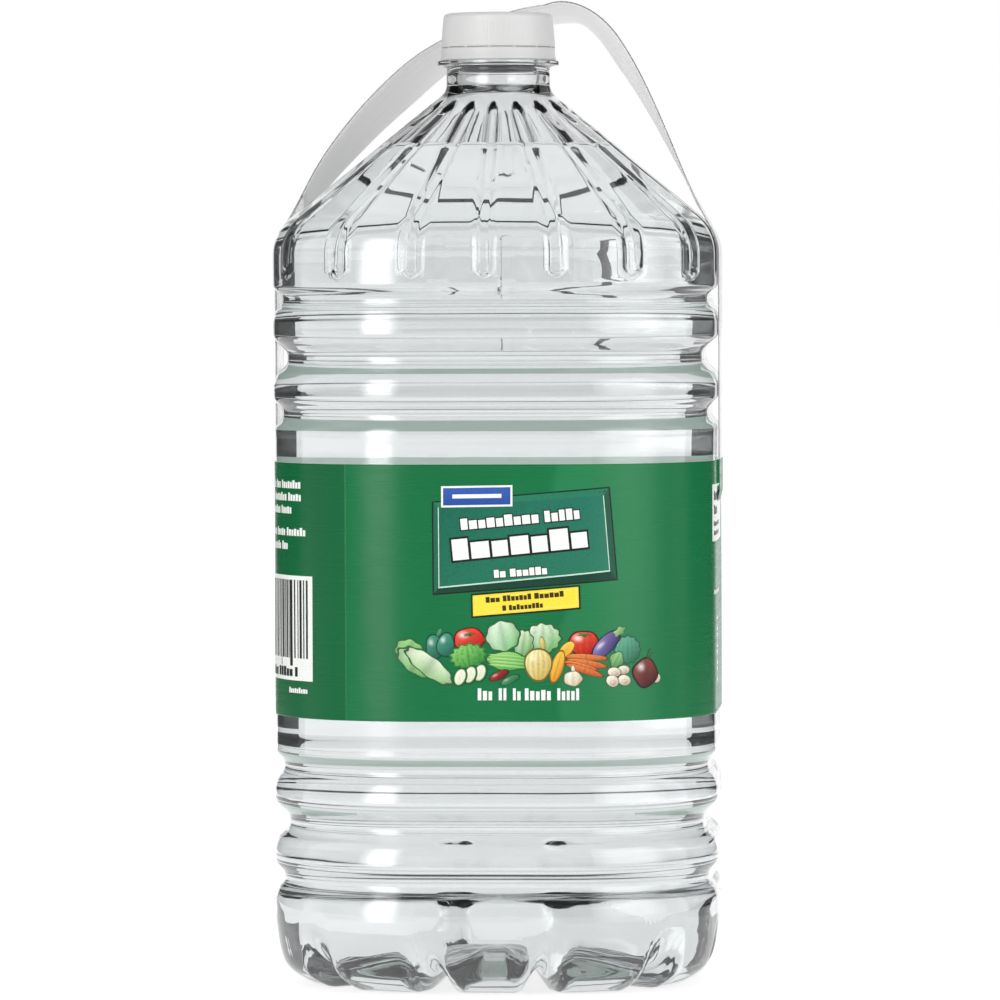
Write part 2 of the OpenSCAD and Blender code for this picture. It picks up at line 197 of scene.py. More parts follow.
class Finish:
    """A material and its principled shader, with one method that adds any other node."""

    def __init__(self, name, **settings):
        self.material = bpy.data.materials.new(name)
        self.material.use_nodes = True
        self.tree = self.material.node_tree
        self.shader = self.tree.nodes["Principled BSDF"]
        for socket, value in settings.items():
            self.shader.inputs[socket.replace("_", " ")].default_value = value

    def node(self, kind, settings=None, output=0, **inputs):
        node = self.tree.nodes.new(kind)
        for key, value in (settings or {}).items():
            setattr(node, key, value)
        for key, value in inputs.items():
            socket = node.inputs[key.replace("_", " ")]
            if isinstance(value, Sum):
                self.tree.links.new(value.socket, socket)
            else:
                socket.default_value = value
        return Sum(self.tree, node.outputs[output])

    def place(self):
        return self.node("ShaderNodeTexCoord", output="Object")

    def noise(self, scale, detail=2.0, stretch=(1, 1, 1)):
        """Smooth noise on object coordinates; stretch squeezes it along each axis."""
        spot = self.node("ShaderNodeMapping", Vector=self.place(), Scale=stretch)
        return self.node("ShaderNodeTexNoise", Vector=spot, Scale=scale, Detail=detail)

    def feed(self, socket, value):
        self.tree.links.new(value.socket, self.shader.inputs[socket])

    def bump(self, height, distance):
        self.feed("Normal", self.node("ShaderNodeBump", Height=height, Distance=distance, Strength=1.0))

    def mix(self, factor, first, second):
        """A colour between two colours, by a factor from 0 to 1."""
        node = self.tree.nodes.new("ShaderNodeMix")
        node.data_type = "RGBA"
        self.tree.links.new(factor.socket, node.inputs[0])
        for i, value in ((6, first), (7, second)):
            if isinstance(value, Sum):
                self.tree.links.new(value.socket, node.inputs[i])
            else:
                node.inputs[i].default_value = (*value, 1.0)
        return Sum(self.tree, node.outputs[2])

    def times(self, first, second):
        """Two colours multiplied, channel by channel."""
        node = self.tree.nodes.new("ShaderNodeMix")
        node.data_type = "RGBA"
        node.blend_type = "MULTIPLY"
        node.inputs[0].default_value = 1.0
        self.tree.links.new(first.socket, node.inputs[6])
        self.tree.links.new(second.socket, node.inputs[7])
        return Sum(self.tree, node.outputs[2])


# %% [markdown]
# ## Camera
# The bottle is seen from far off through a long lens, so its upright edges stay parallel.
# The camera stands a little to the bottle's right and looks slightly down on its middle.

# %% Make the camera
CAMERA_AWAY = 2.139
CAMERA_SIDE = math.radians(4.0)
CAMERA_Z = 0.2160
CAMERA_DOWN = math.radians(1.83)
CAMERA_ROLL = math.radians(-0.23)
lens = bpy.data.cameras.new("camera")
lens.lens = 248.4
lens.clip_end = 30.0
camera = bpy.data.objects.new("camera", lens)
camera.location = (CAMERA_AWAY * math.sin(CAMERA_SIDE), -CAMERA_AWAY * math.cos(CAMERA_SIDE), CAMERA_Z)
heading = Matrix.Rotation(CAMERA_SIDE, 3, "Z") @ Matrix.Rotation(math.pi / 2 - CAMERA_DOWN, 3, "X")
camera.rotation_euler = (heading @ Matrix.Rotation(CAMERA_ROLL, 3, "Z")).to_euler()
bpy.context.scene.collection.objects.link(camera)
bpy.context.scene.camera = camera
print("camera at", [round(v, 3) for v in camera.location])

# %% [markdown]
# ## The shape of the bottle
# The body is a square with rounded corners. Along a ray from the axis, the outline is
# either a flat side or an arc about a corner's centre. As the shoulder narrows, the flat
# sides shrink to nothing and the outline turns round.

# %% Outline and profile
def square_at(angle, flat, r):
    """Distance from the axis to a rounded square: (flat + r) / cos on a flat side, and the
    far crossing of the ray with a circle of radius r about (flat, flat) on a corner."""
    fold = np.mod(angle, math.pi / 2)
    fold = np.minimum(fold, math.pi / 2 - fold)
    c, s = np.cos(fold), np.sin(fold)
    side = (flat + r) / c
    corner = flat * (c + s) + np.sqrt(np.maximum(r * r - flat * flat * (c - s) ** 2, 0.0))
    return np.where(side * s <= flat, side, corner)


def outline(angle, half):
    """The bottle's outline at a given half width: flat sides shrink in step with the neck."""
    share = np.clip((half - NECK_R) / (HALF - NECK_R), 0.0, 1.0)
    flat = FLAT * share
    return square_at(angle, flat, half - flat)


def ease(x):
    """Smooth step from 0 to 1: 3x^2 - 2x^3, held flat below 0 and above 1."""
    x = np.clip(x, 0.0, 1.0)
    return x * x * (3.0 - 2.0 * x)


def groove_depth(z):
    """How far the grooves and the label's panel set the side in at height z."""
    inset = PANEL_IN * ease((z - PANEL_LOW + 1 * MM) / MM) * ease((PANEL_HIGH + 1 * MM - z) / MM)
    for middle, half, depth in GROOVES:
        inset = inset + depth * ease(1.15 * (1.0 - np.abs(z - middle) / (GROOVE_FLARE * half)))
    return inset


CONE_Z = SHOULDER_Z + SHOULDER_R * math.sin(LEAN)
FILLET_Z = NECK_Z - NECK_BEND * math.sin(LEAN)


def shoulder_path(bend_steps, cone_steps, fillet_steps):
    """Heights and half widths up the shoulder: an arc, a straight cone and a hollow arc."""
    t = np.linspace(0, LEAN, bend_steps)
    bend = np.stack([SHOULDER_Z + SHOULDER_R * np.sin(t), HALF - SHOULDER_R * (1 - np.cos(t))], 1)
    t = np.linspace(LEAN, 0, fillet_steps)
    fillet = np.stack([NECK_Z - NECK_BEND * np.sin(t), NECK_R + NECK_BEND * (1 - np.cos(t))], 1)
    t = np.linspace(0, 1, cone_steps + 2)[1:-1, None]
    return np.concatenate([bend, bend[-1] * (1 - t) + fillet[0] * t, fillet])


def side_heights(fine, coarse):
    """Heights up the straight side: closer together in the grooves than between them. Behind
    the label, where the wall is straight, each third one is enough."""
    z, out = HEEL_H, []
    while z < SHOULDER_Z - coarse * 0.5:
        out.append(z)
        near = min(abs(z - middle) / (GROOVE_FLARE * half) for middle, half, _ in GROOVES)
        edge = min(abs(z - PANEL_LOW + 0.5 * MM), abs(z - PANEL_HIGH - 0.5 * MM))
        z += fine if near < 1.05 or edge < 1.2 * MM or z > SHOULDER_Z - 9 * MM else coarse
    out = np.array(out)
    straight = (out > PANEL_LOW + 4 * MM) & (out < PANEL_HIGH - 4 * MM)
    return out[~straight | (np.arange(len(out)) % 3 == 0)]


# Shares of the radius and heights in mm, from the middle of the base to the top of the heel
SOLE = [
    (0, 12), (0.14, 11.7), (0.3, 10.3), (0.56, 3), (0.703, 0),
    (0.821, 0), (0.935, 4.4), (0.978, 10.2), (1, 20.2),
]
NOTCH = [
    (0, 12), (0.14, 11.9), (0.3, 11.2), (0.56, 9.6), (0.703, 8.2),
    (0.8, 7.6), (0.885, 9.6), (0.95, 13.8), (1, 20.2),
]


def through(points, count):
    """A Catmull-Rom curve through points: each span is a cubic whose slope at a point is
    half the step between that point's neighbours."""
    p = np.array([points[0], *points, points[-1]], float)
    t = np.linspace(0, len(points) - 1 - 1e-9, count)
    i, f = t.astype(int), (t % 1)[:, None]
    a, b, c, d = p[i], p[i + 1], p[i + 2], p[i + 3]
    return 0.5 * (2 * b + (c - a) * f + (2 * a - 5 * b + 4 * c - d) * f**2 + (3 * b - a - 3 * c + d) * f**3)


def foot_share(angle):
    """1 on a foot and 0 in the middle of the notch between two feet."""
    pitch = 2 * math.pi / FOOT_COUNT
    off = np.abs(angle - pitch * np.round(angle / pitch))
    return 1.0 - ease((off - math.radians(8.5)) / math.radians(6.5))


def base_rows(angle, count, lift, inward):
    """Rows of the base from its middle outwards: a foot's curve and a notch's, mixed by
    foot_share. lift and inward move the rows to make the inside of the wall."""
    sole, notch = through(SOLE, count + 1)[1:-1], through(NOTCH, count + 1)[1:-1]
    mix = foot_share(angle)[None, :]
    share = sole[:, :1] * mix + notch[:, :1] * (1 - mix)
    height = np.maximum(sole[:, 1:], 0) * mix + notch[:, 1:] * (1 - mix)
    radius = share * (outline(angle, HALF)[None, :] - inward)
    return radius, height * MM + lift


def flute_cut(angle, z, half):
    """Depth of the flutes: a channel with steep walls and round ends, a little narrower at
    the top. The distance to its centre line is measured across it and past its ends."""
    pitch = 2 * math.pi / FLUTE_COUNT
    off = (angle - pitch * np.round(angle / pitch)) * half
    past = np.maximum(SHOULDER_Z - 4.4 * MM - z, 0) + np.maximum(z - FILLET_Z + 5.0 * MM, 0)
    wide = (2.5 - 0.7 * ease((z - CONE_Z) / (45 * MM))) * MM
    away = np.hypot(off, past) / wide
    return (1.4 + 0.35 * ease((z - SHOULDER_Z) / (12 * MM))) * MM * ease(2.4 * (1.0 - away))


print(f"shoulder cone from {CONE_Z / MM:.1f} to {FILLET_Z / MM:.1f} mm, neck at {NECK_Z / MM:.1f} mm")

# %% [markdown]
# ## Finishes for clear things
# Blown plastic bends light more than vinegar does, so each has its own index of refraction.

# %% Clear finishes
CLEAR = dict(Roughness=0.0, Transmission_Weight=1.0)
clear_plastic = Finish("clear_plastic", Base_Color=(0.868, 0.88, 0.886, 1), IOR=1.5, **CLEAR)
ripples = clear_plastic.noise(38.0, detail=1.0, stretch=(1, 1, 0.35))
clear_plastic.bump(ripples, 0.0007)
clear_vinegar = Finish("clear_vinegar", Base_Color=(0.925, 0.935, 0.935, 1), IOR=1.333, **CLEAR)

# %% [markdown]
# ## Columns that follow the shape
# Every row of the bottle has the same number of columns, but they needn't be evenly spaced.
# On the shoulder they crowd together at the flutes, whose walls are steep and thin, and
# stand further apart on the smooth panels between them.

# %% Rows and their columns
COLUMNS = 300
turn = np.arange(COLUMNS) * 2 * math.pi / COLUMNS


def columns_at(z):
    """Angles of each row's columns: turn - w * sin(20 * turn) / 20. w rises from 0 at the
    base to 0.8 on the shoulder, where a flute then gets four times as many columns."""
    z = np.asarray(z, float)
    warp = 0.8 * ease((z - 204 * MM) / (9 * MM)) * (1 - 0.4 * ease((z - CONE_Z) / (60 * MM)))
    return turn - warp * np.sin(FLUTE_COUNT * turn) / FLUTE_COUNT


def wall_at(z):
    """Thickness of the wall: thin in the body and thicker up the shoulder and neck."""
    heights = [SHOULDER_Z - 10 * MM, SHOULDER_Z, CONE_Z, FILLET_Z, NECK_Z]
    return np.interp(z, heights, [WALL, 1.5 * MM, SHOULDER_WALL, SHOULDER_WALL, NECK_R - BORE_R])


def skin_rows(base_count, fine, coarse, steps, inward, fluted):
    """Rows of the skin from the base to the foot of the neck, as radius, height and angle.
    inward is 0 on the outside; 1 is the wall's inner face, and shares between lie inside it."""
    radius, height = base_rows(turn, base_count, inward * WALL, inward * WALL)
    rows = [(radius, height, np.repeat(turn[None, :], len(radius), 0))]
    z = side_heights(fine, coarse)[:, None]
    half = HALF - groove_depth(z) - inward * wall_at(z)
    angle = columns_at(z)
    radius = square_at(angle, FLAT, half - FLAT)
    if fluted:
        radius = radius - flute_cut(angle, z, HALF)
    rows.append((radius, np.repeat(z, COLUMNS, 1), angle))
    path = shoulder_path(*steps)
    z, half = path[:, :1], path[:, 1:]
    angle = columns_at(z)
    radius = outline(angle, half - inward * wall_at(z))
    if fluted:
        radius = radius - flute_cut(angle, z, half)
    rows.append((radius, np.repeat(z, COLUMNS, 1), angle))
    return [np.concatenate(part) for part in zip(*rows)]


def ring_rows(pairs):
    """Plain round rows from (radius, height) pairs."""
    pairs = np.array(pairs, float)
    return [np.repeat(pairs[:, i:i + 1], COLUMNS, 1) for i in (0, 1)] + [columns_at(pairs[:, 1:])]


def closed_lathe(parts, first_pole, last_pole):
    """Joins groups of rows into one skin, closed at both ends by a point on the axis."""
    radius, height, angle = [np.concatenate(part) for part in zip(*parts)]
    points = np.stack([radius * np.cos(angle), radius * np.sin(angle), height], -1).reshape(-1, 3)
    count = len(radius)
    faces = quads(count, COLUMNS, True).tolist()
    faces += fan(np.arange(COLUMNS), count * COLUMNS, True).tolist()
    faces += fan(np.arange(COLUMNS) + (count - 1) * COLUMNS, count * COLUMNS + 1, False).tolist()
    return np.concatenate([points, [(0, 0, first_pole), (0, 0, last_pole)]]), faces


def rounded(radius, height, r, start, end, steps=4):
    """Points round an edge: an arc of radius r about (radius, height), in (radius, height)."""
    t = np.radians(np.linspace(start, end, steps))
    return [(radius + r * math.cos(a), height + r * math.sin(a)) for a in t]


print(f"{COLUMNS} columns in each row")

# %% [markdown]
# ## The bottle's wall
# The bottle is blown from one piece of clear plastic. Light bends at both faces of its wall,
# so the wall needs both: the rows run up the outside, over the lip and down the inside, and
# make one closed skin. Only the outside carries the flutes, as the wall is thick there.

# %% Bottle shell
edge = 0.35 * MM
lip = (
    [(NECK_R, NECK_Z + 2 * MM), (NECK_R, COLLAR_Z - 0.6 * MM)]
    + rounded(COLLAR_R - edge, COLLAR_Z + edge, edge, -90, 0)
    + rounded(COLLAR_R - edge, FINISH_Z - edge, edge, 0, 90)
    + [(FINISH_R + edge, FINISH_Z), (FINISH_R, FINISH_Z + edge), (FINISH_R, LIP_Z - 3 * edge)]
    + rounded(FINISH_R - 2 * edge, LIP_Z - 2 * edge, 2 * edge, 0, 90)
    + rounded(BORE_R + edge, LIP_Z - edge, edge, 90, 180)
    + [(BORE_R, NECK_Z + 6 * MM), (BORE_R, NECK_Z + 1 * MM)]
)
outside = skin_rows(28, 0.9 * MM, 3.2 * MM, (16, 28, 8), 0.0, True)
inside = skin_rows(18, 1.3 * MM, 5.0 * MM, (8, 10, 6), 1.0, False)
inside = [part[::-1] for part in inside]
points, faces = closed_lathe([outside, ring_rows(lip), inside], DOME_H, DOME_H + WALL)
make_piece("bottle_shell", points, faces, clear_plastic.material, ("bottle",))

# %% [markdown]
# ## Vinegar
# A gap of air between a wall and a drink would bend light twice more and look like a second
# bottle, so the vinegar reaches halfway into the wall. Its surface climbs a little at the
# wall, as water does.

# %% Vinegar
INTO_WALL = 0.55
liquid = skin_rows(18, 1.3 * MM, 5.0 * MM, (8, 10, 6), INTO_WALL, False)
below = liquid[1].max(1) < FILL_Z - 0.4 * MM
liquid = [part[below] for part in liquid]
path = shoulder_path(8, 10, 6)
rim_half = np.interp(FILL_Z, path[:, 0], path[:, 1]) - INTO_WALL * SHOULDER_WALL
shares = np.array([1.0, 0.985, 0.96, 0.92, 0.8, 0.5, 0.2])[:, None]
climb = np.array([0.0, -0.25, -0.6, -0.85, -0.95, -0.95, -0.95])[:, None] * MM
angle = columns_at(np.full((len(shares), 1), FILL_Z))
surface = [shares * outline(angle, rim_half), np.repeat(FILL_Z + climb, COLUMNS, 1), angle]
points, faces = closed_lathe([liquid, surface], DOME_H + INTO_WALL * WALL, FILL_Z + climb[-1, 0])
make_piece("vinegar_body", points, faces, clear_vinegar.material, ("vinegar",))

# %% [markdown]
# ## Label film
# The label is a printed film shrunk tight round the panel. It is made flat in the mind: u
# runs round the bottle and z runs up it, and one function wraps them onto the panel. The
# same function later places the print, so the print can't leave the film.

# %% Wrapping the film round the panel
LABEL_HALF = HALF - PANEL_IN + 0.26 * MM
ARC_R = LABEL_HALF - FLAT
QUARTER = 2 * FLAT + ARC_R * math.pi / 2
SEAM_U = -43.2 * MM
FILM_T = 0.17 * MM
TAPE_HALF = 12.5 * MM
OVER_TAPE = 0.86 * MM
TAPE_END = nodes["handle_tape"][0].z


def film_swell(u, z):
    """How far the film stands off: it rises over each tape end, steps up by its own
    thickness left of the seam, and has slow waves that die out on the back, where u ends."""
    u = (u + 2 * QUARTER) % (4 * QUARTER) - 2 * QUARTER
    round_side = np.abs(np.abs(u) - QUARTER)
    over = OVER_TAPE * ease((TAPE_HALF + 4.5 * MM - round_side) / (4 * MM))
    over = over * ease((z - TAPE_END + 5 * MM) / (4.5 * MM))
    lap = (SEAM_U - u) / MM
    step = 0.13 * MM * ease(lap / 0.3) * (1 - ease((lap - 5) / 9))
    wave = 0.035 * np.sin(u / (5.5 * MM) + 1.4 * np.sin(z / (16 * MM)))
    wave = wave + 0.03 * np.sin(u / (13 * MM) - z / (21 * MM) + 0.8)
    pucker = 0.06 * np.exp(-(((u + 38 * MM) / (5 * MM)) ** 2)) * np.sin(z / (3.1 * MM) + u / (4 * MM))
    low = ease((z - LABEL_LOW) / (16 * MM)) * ease((LABEL_HIGH - z) / (16 * MM))
    loose = (1 - over / OVER_TAPE) * ease((1.7 * QUARTER - np.abs(u)) / (30 * MM))
    return over + step + (wave + pucker * (1 - 0.6 * low)) * MM * loose


def on_label(u, z, lift):
    """The point at (u, z), lift off the film. A quarter of the way round is a flat stretch
    and an arc of radius ARC_R, and each quarter is the last one turned by 90 degrees."""
    quarter = np.floor((u + FLAT) / QUARTER)
    s = u + FLAT - quarter * QUARTER
    bend = np.maximum(s - 2 * FLAT, 0) / ARC_R
    off = lift + film_swell(u, z)
    x = np.minimum(s, 2 * FLAT) - FLAT + (ARC_R + off) * np.sin(bend)
    y = -FLAT - (ARC_R + off) * np.cos(bend)
    c, s = np.cos(quarter * math.pi / 2), np.sin(quarter * math.pi / 2)
    return np.stack([x * c - y * s, x * s + y * c, z + 0 * x], -1)


def film_colour_and_painted_light(u, z):
    """Green of the film, with painted shade and a painted reflection: darker left of the seam, where
    the film laps over itself, and lighter in a band on the right-hand corner, where a lamp's edge
    reflects; the edge between the two tones wanders a little up the film."""
    wander = 1.6 * MM * np.sin(z / (9 * MM)) + 0.9 * MM * np.sin(z / (3.7 * MM) + 1)
    # Painted shade: the film is darker from the seam to 26 mm left of it, where it laps over itself, and
    # the shade fades out over 20 mm more.
    lap = ease((SEAM_U - u) / (0.3 * MM)) * (1 - ease((SEAM_U - u - 26 * MM) / (20 * MM)))
    # Painted reflection: a lighter, whiter band from 22 to about 44 mm right of the middle, standing for a
    # lamp's edge reflected in the film; wander moves its left edge.
    painted_reflection_band = ease((u - 22 * MM - wander) / (2.5 * MM)) * (1 - ease((u - 44 * MM) / (14 * MM)))
    tone = (1 - 0.22 * lap + 0.16 * painted_reflection_band)[..., None]
    return tone * np.array([0.0024, 0.15, 0.047]) + (0.012 * painted_reflection_band - 0.002 * lap)[..., None]


label_film = Finish("label_film", Specular_IOR_Level=0.22, Emission_Strength=0.6)
tint = label_film.node("ShaderNodeAttribute", {"attribute_name": "ink"})
streaks = label_film.noise(900.0, detail=1.0, stretch=(0.02, 0.02, 1))
patches = label_film.noise(34.0, detail=2.0, stretch=(1, 1, 0.4))
uneven = label_film.mix(patches.step(0.3, 0.7), (0.88, 0.9, 0.88), (1.0, 1.0, 1.0))
label_film.feed("Base Color", label_film.times(tint, uneven))
# Painted light: where the tint's red is above 0.4, which is only on the grey back face of the film, the
# film glows pale green at strength 0.6, though it is no lamp.
glow = label_film.node("ShaderNodeSeparateColor", Color=tint)
label_film.feed("Emission Color", label_film.mix(glow > 0.4, (0.0, 0.0, 0.0), (0.8, 0.95, 0.86)))
label_film.feed("Roughness", 0.2 + streaks * 0.12)
label_film.bump(streaks, 0.00002)

u = np.linspace(-2 * QUARTER, 2 * QUARTER, 441)[:-1]
u = np.sort(np.concatenate([u, SEAM_U + np.linspace(-1.2, 0.3, 12) * MM]))
hem = np.array([0, 0.3]) * MM
between = np.linspace(LABEL_LOW + 2 * MM, LABEL_HIGH - 2 * MM, 54)
z = np.concatenate([LABEL_LOW + hem, between, LABEL_HIGH - hem[::-1]])
grid_u, grid_z = np.meshgrid(u, z)
face = on_label(grid_u, grid_z, 0.0)
back = on_label(grid_u, grid_z, -FILM_T)
points = np.concatenate([face, back[::-1]]).reshape(-1, 3)
rows = 2 * len(z)
faces = quads(rows, len(u), True).tolist()
last = (rows - 1) * len(u) + np.arange(len(u))
first = np.arange(len(u))
faces += np.stack([last, np.roll(last, -1), np.roll(first, -1), first], -1).tolist()
# The front's colour carries the film's painted shade left of the seam and its painted reflection on the
# right-hand corner.
front_tint = film_colour_and_painted_light(grid_u, grid_z)
# The back face's grey has its red above 0.4, so it also switches on the film's painted glow.
back_tint = np.broadcast_to((0.5, 0.52, 0.5), front_tint.shape)
shades = np.concatenate([front_tint, back_tint]).reshape(-1, 3)
make_piece("label_wrap", points, faces, label_film.material, ("label",), colours=shades)

# %% [markdown]
# ## Print
# The print is a set of thin patches of ink that lie on the film, one over another. Each
# patch is a small grid whose points carry their colour. Lettering is left as plain blocks,
# because this part is for any maker, and the fruit and vegetables are simple shapes.

# %% Ink and patches
INK_STEP = 0.016 * MM
ink_points, ink_faces, ink_colours = [], [], []


def ink(*rgb):
    """A colour as it looks on screen, 0 to 255, in the linear values that light needs."""
    c = np.array(rgb, float) / 255
    return np.where(c <= 0.04045, c / 12.92, ((c + 0.055) / 1.055) ** 2.4)


def print_grid(u, z, colours, layer, wrap=False):
    """Adds a grid of ink, given in millimetres, on a layer that counts up from the film."""
    first = sum(len(part) for part in ink_points)
    ink_points.append(on_label(u * MM, z * MM, INK_STEP * (layer + 1)).reshape(-1, 3))
    ink_faces.extend(quads(u.shape[0], u.shape[1], wrap, first).tolist())
    ink_colours.append(np.broadcast_to(colours, u.shape + (3,)).reshape(-1, 3))


def field(corners, colours, layer, step=1.5):
    """A four-sided patch from its corners, bottom left first and then anticlockwise. Points
    and colours are mixed from the corners' by their shares along and up the patch."""
    corners = np.array(corners, float)
    across = max(2, int(abs(corners[1] - corners[0]).max() / step) + 1)
    up = max(2, int(abs(corners[3] - corners[0]).max() / (3 * step)) + 1)
    s, t = np.meshgrid(np.linspace(0, 1, across), np.linspace(0, 1, up))
    shares = np.stack([(1 - s) * (1 - t), s * (1 - t), s * t, (1 - s) * t], -1)
    spot = shares @ corners
    colours = np.array(colours, float)
    tint = shares @ colours if colours.ndim == 2 else colours
    print_grid(spot[..., 0], spot[..., 1], tint, layer)


def bar(u, z, length, height, colour, layer, slope=0.0):
    """A plain bar from its lower left corner, rising by slope along its length."""
    lean, rise = height * slope, length * slope
    low = [(u, z), (u + length, z + rise)]
    high = [(u + length - lean, z + rise + height), (u - lean, z + height)]
    field(low + high, colour, layer)


BLOCKS = (1.0, 0.78, 0.74, 0.86, 0.76, 1.0, 0.74, 0.8, 0.76, 0.98)


def words(u, z, height, lengths, colour, layer, slope=0.0, edge=None, wide=0.62):
    """Words as rows of blocks, which stand for letters without being any. lengths gives the
    number of blocks in each word; edge is a darker border that shows round each block."""
    count = 0
    for length in lengths:
        for i in range(length):
            tall = height * BLOCKS[(count * 3 + i) % len(BLOCKS)] if i else height
            w = height * wide * (1.0, 0.8, 1.15, 0.9)[(count + 2 * i) % 4]
            if edge is not None:
                rim = height * 0.09
                bar(u - rim, z - rim * 1.3, w + 2 * rim, tall + 2.3 * rim, edge, layer, slope)
            bar(u, z, w, tall, colour, layer + 1, slope)
            u += w + height * 0.13
            z += (w + height * 0.13) * slope
        count += length
        u += height * 0.42
        z += height * 0.42 * slope
    return u


def blob(place, size, tilt, light, dark, layer, rim, wobble=(0, 0, 0), lines=(0, 0), gleam=0):
    """A rounded shape in rings. Its outline is an ellipse times 1 + a * cos(n * angle + p).
    The colour goes from light at the upper left to dark at the lower right; lines darkens
    it along curves that bow with the outline, and gleam adds a bright spot."""
    t = np.linspace(0, 2 * math.pi, 49)[:-1]
    r = np.array([0.02, 0.2, 0.4, 0.58, 0.72, 0.82, 0.885, 0.9, 1.0])[:, None]
    stretch = 1 + wobble[1] * np.cos(wobble[0] * t + wobble[2])
    x, y = r * np.cos(t) * stretch, r * np.sin(t) * stretch
    shade = np.clip(0.5 - 0.35 * x + 0.5 * y, 0, 1)[..., None]
    colour = ink(*light) * shade + ink(*dark) * (1 - shade)
    if lines[0]:
        bow = x / np.sqrt(np.maximum(1.05 - y * y, 0.15))
        colour = colour * (1 - lines[1] * (0.5 + 0.5 * np.cos(bow * lines[0])) ** 2)[..., None]
    if gleam:
        spot = gleam * np.exp(-((x + 0.35) ** 2 + (y - 0.4) ** 2) / 0.05)[..., None]
        colour = colour * (1 - spot) + spot
    colour = np.where((r > 0.89)[..., None], ink(*rim), colour)
    c, s = math.cos(math.radians(tilt)), math.sin(math.radians(tilt))
    x, y = x * size[0], y * size[1]
    print_grid(place[0] + x * c - y * s, place[1] + x * s + y * c, colour, layer, wrap=True)


WHITE = ink(236, 238, 234)
BLACK = ink(22, 30, 26)
print("white ink is", WHITE.round(3), "and black ink", BLACK.round(3))

# %% [markdown]
# ## The name board
# A tilted dark green board with a bevelled frame carries the name. The frame is four fields
# in shades that make it look raised, and a thin pale line runs inside it.

# %% Name board
BOARD = np.array([(-15.7, 121.2), (40.5, 125.5), (38.0, 153.7), (-15.8, 149.4)])
INNER = np.array([(-13.9, 123.3), (38.0, 128.2), (36.1, 151.1), (-14.0, 147.6)])
field(BOARD, BLACK, 0)
middle = BOARD.mean(0)
FRAME = middle + (BOARD - middle) * np.array([0.984, 0.972])
shades = [ink(16, 62, 46), ink(22, 84, 62), ink(36, 118, 88), ink(30, 100, 76)]
for i in range(4):
    k = (i + 1) % 4
    field([FRAME[i], FRAME[k], INNER[k], INNER[i]], shades[i], 1)
field(INNER, [ink(26, 108, 82), ink(40, 116, 92), ink(34, 112, 92), ink(20, 98, 78)], 2)
for i in (0, 1, 3):
    k = (i + 1) % 4
    along = INNER[k] - INNER[i]
    side = np.array([-along[1], along[0]]) / np.hypot(*along) * (0.42 if i == 0 else 0.28)
    field([INNER[i], INNER[k], INNER[k] + side, INNER[i] + side], ink(196, 220, 206), 3, 2.0)
words(-7.0, 140.8, 3.35, (9, 5), WHITE, 4, 0.093, BLACK)
words(-9.4, 131.6, 6.3, (7,), WHITE, 4, 0.099, BLACK, 0.76)
words(2.9, 126.4, 2.4, (2, 6), WHITE, 4, 0.07, BLACK)

# %% [markdown]
# ## Badge and yellow tag
# Where a maker's mark would be there is a plain blue badge. The yellow tag hangs below the
# board, with a black border and two rows of small dark blocks.

# %% Badge and tag
field([(-13.0, 147.6), (8.5, 147.9), (8.5, 154.3), (-13.0, 154.0)], WHITE, 5)
blues = [ink(38, 74, 150)] * 2 + [ink(52, 92, 170)] * 2
field([(-12.4, 148.2), (7.9, 148.5), (7.9, 153.7), (-12.4, 153.4)], blues, 6)
field([(-9.6, 150.3), (5.2, 150.5), (5.2, 151.7), (-9.6, 151.5)], WHITE, 7)
field([(-4.0, 114.3), (28.9, 117.0), (28.7, 124.2), (-4.1, 121.6)], BLACK, 5)
field([(-3.5, 114.9), (28.4, 117.5), (28.2, 123.7), (-3.6, 121.1)], ink(246, 214, 60), 6)
field([(-2.9, 115.5), (27.8, 118.0), (27.6, 123.1), (-3.0, 120.5)], ink(252, 232, 120), 7)
field([(-2.7, 115.7), (27.6, 118.2), (27.4, 122.9), (-2.8, 120.3)], ink(248, 218, 66), 8)
words(0.4, 118.9, 1.75, (3, 7, 6), ink(58, 48, 20), 9, 0.082, wide=0.68)
words(5.4, 116.5, 1.6, (1, 9), ink(58, 48, 20), 9, 0.082, wide=0.7)
words(-2.2, 89.6, 3.6, (3, 2, 2), WHITE, 1, 0.0, wide=0.3)
words(12.0, 89.6, 3.6, (5, 5), WHITE, 1, 0.0, wide=0.31)

# %% [markdown]
# ## A row of vegetables
# Each vegetable is one or two blobs with its own colours, wobble and lines. Those at the
# back are printed first. The sizes here are in millimetres on the flat film.

# %% Vegetables at the back
LEAF = dict(rim=(40, 92, 48))
# Green pepper in two lobes, with its stalk
blob((-15.0, 105.6), (3.0, 3.9), 6, (60, 140, 112), (26, 92, 72), 1,
     rim=(18, 58, 44), wobble=(3, 0.06, 0.4), gleam=0.5)
blob((-11.8, 106.2), (2.8, 3.8), -6, (66, 146, 120), (28, 96, 78), 2,
     rim=(18, 58, 44), wobble=(3, 0.06, 2.0), gleam=0.6)
blob((-13.8, 109.9), (0.6, 1.5), -28, (92, 160, 120), (40, 110, 80), 3, rim=(18, 58, 44))
# Tomato and its stalk
blob((-4.7, 107.9), (4.9, 3.7), 4, (232, 74, 52), (170, 22, 20), 1,
     rim=(80, 16, 16), wobble=(5, 0.035, 0.6), gleam=0.75)
blob((-4.8, 109.4), (1.5, 0.5), 8, (60, 130, 60), (30, 84, 40), 3,
     rim=(30, 60, 30), wobble=(5, 0.35, 0))
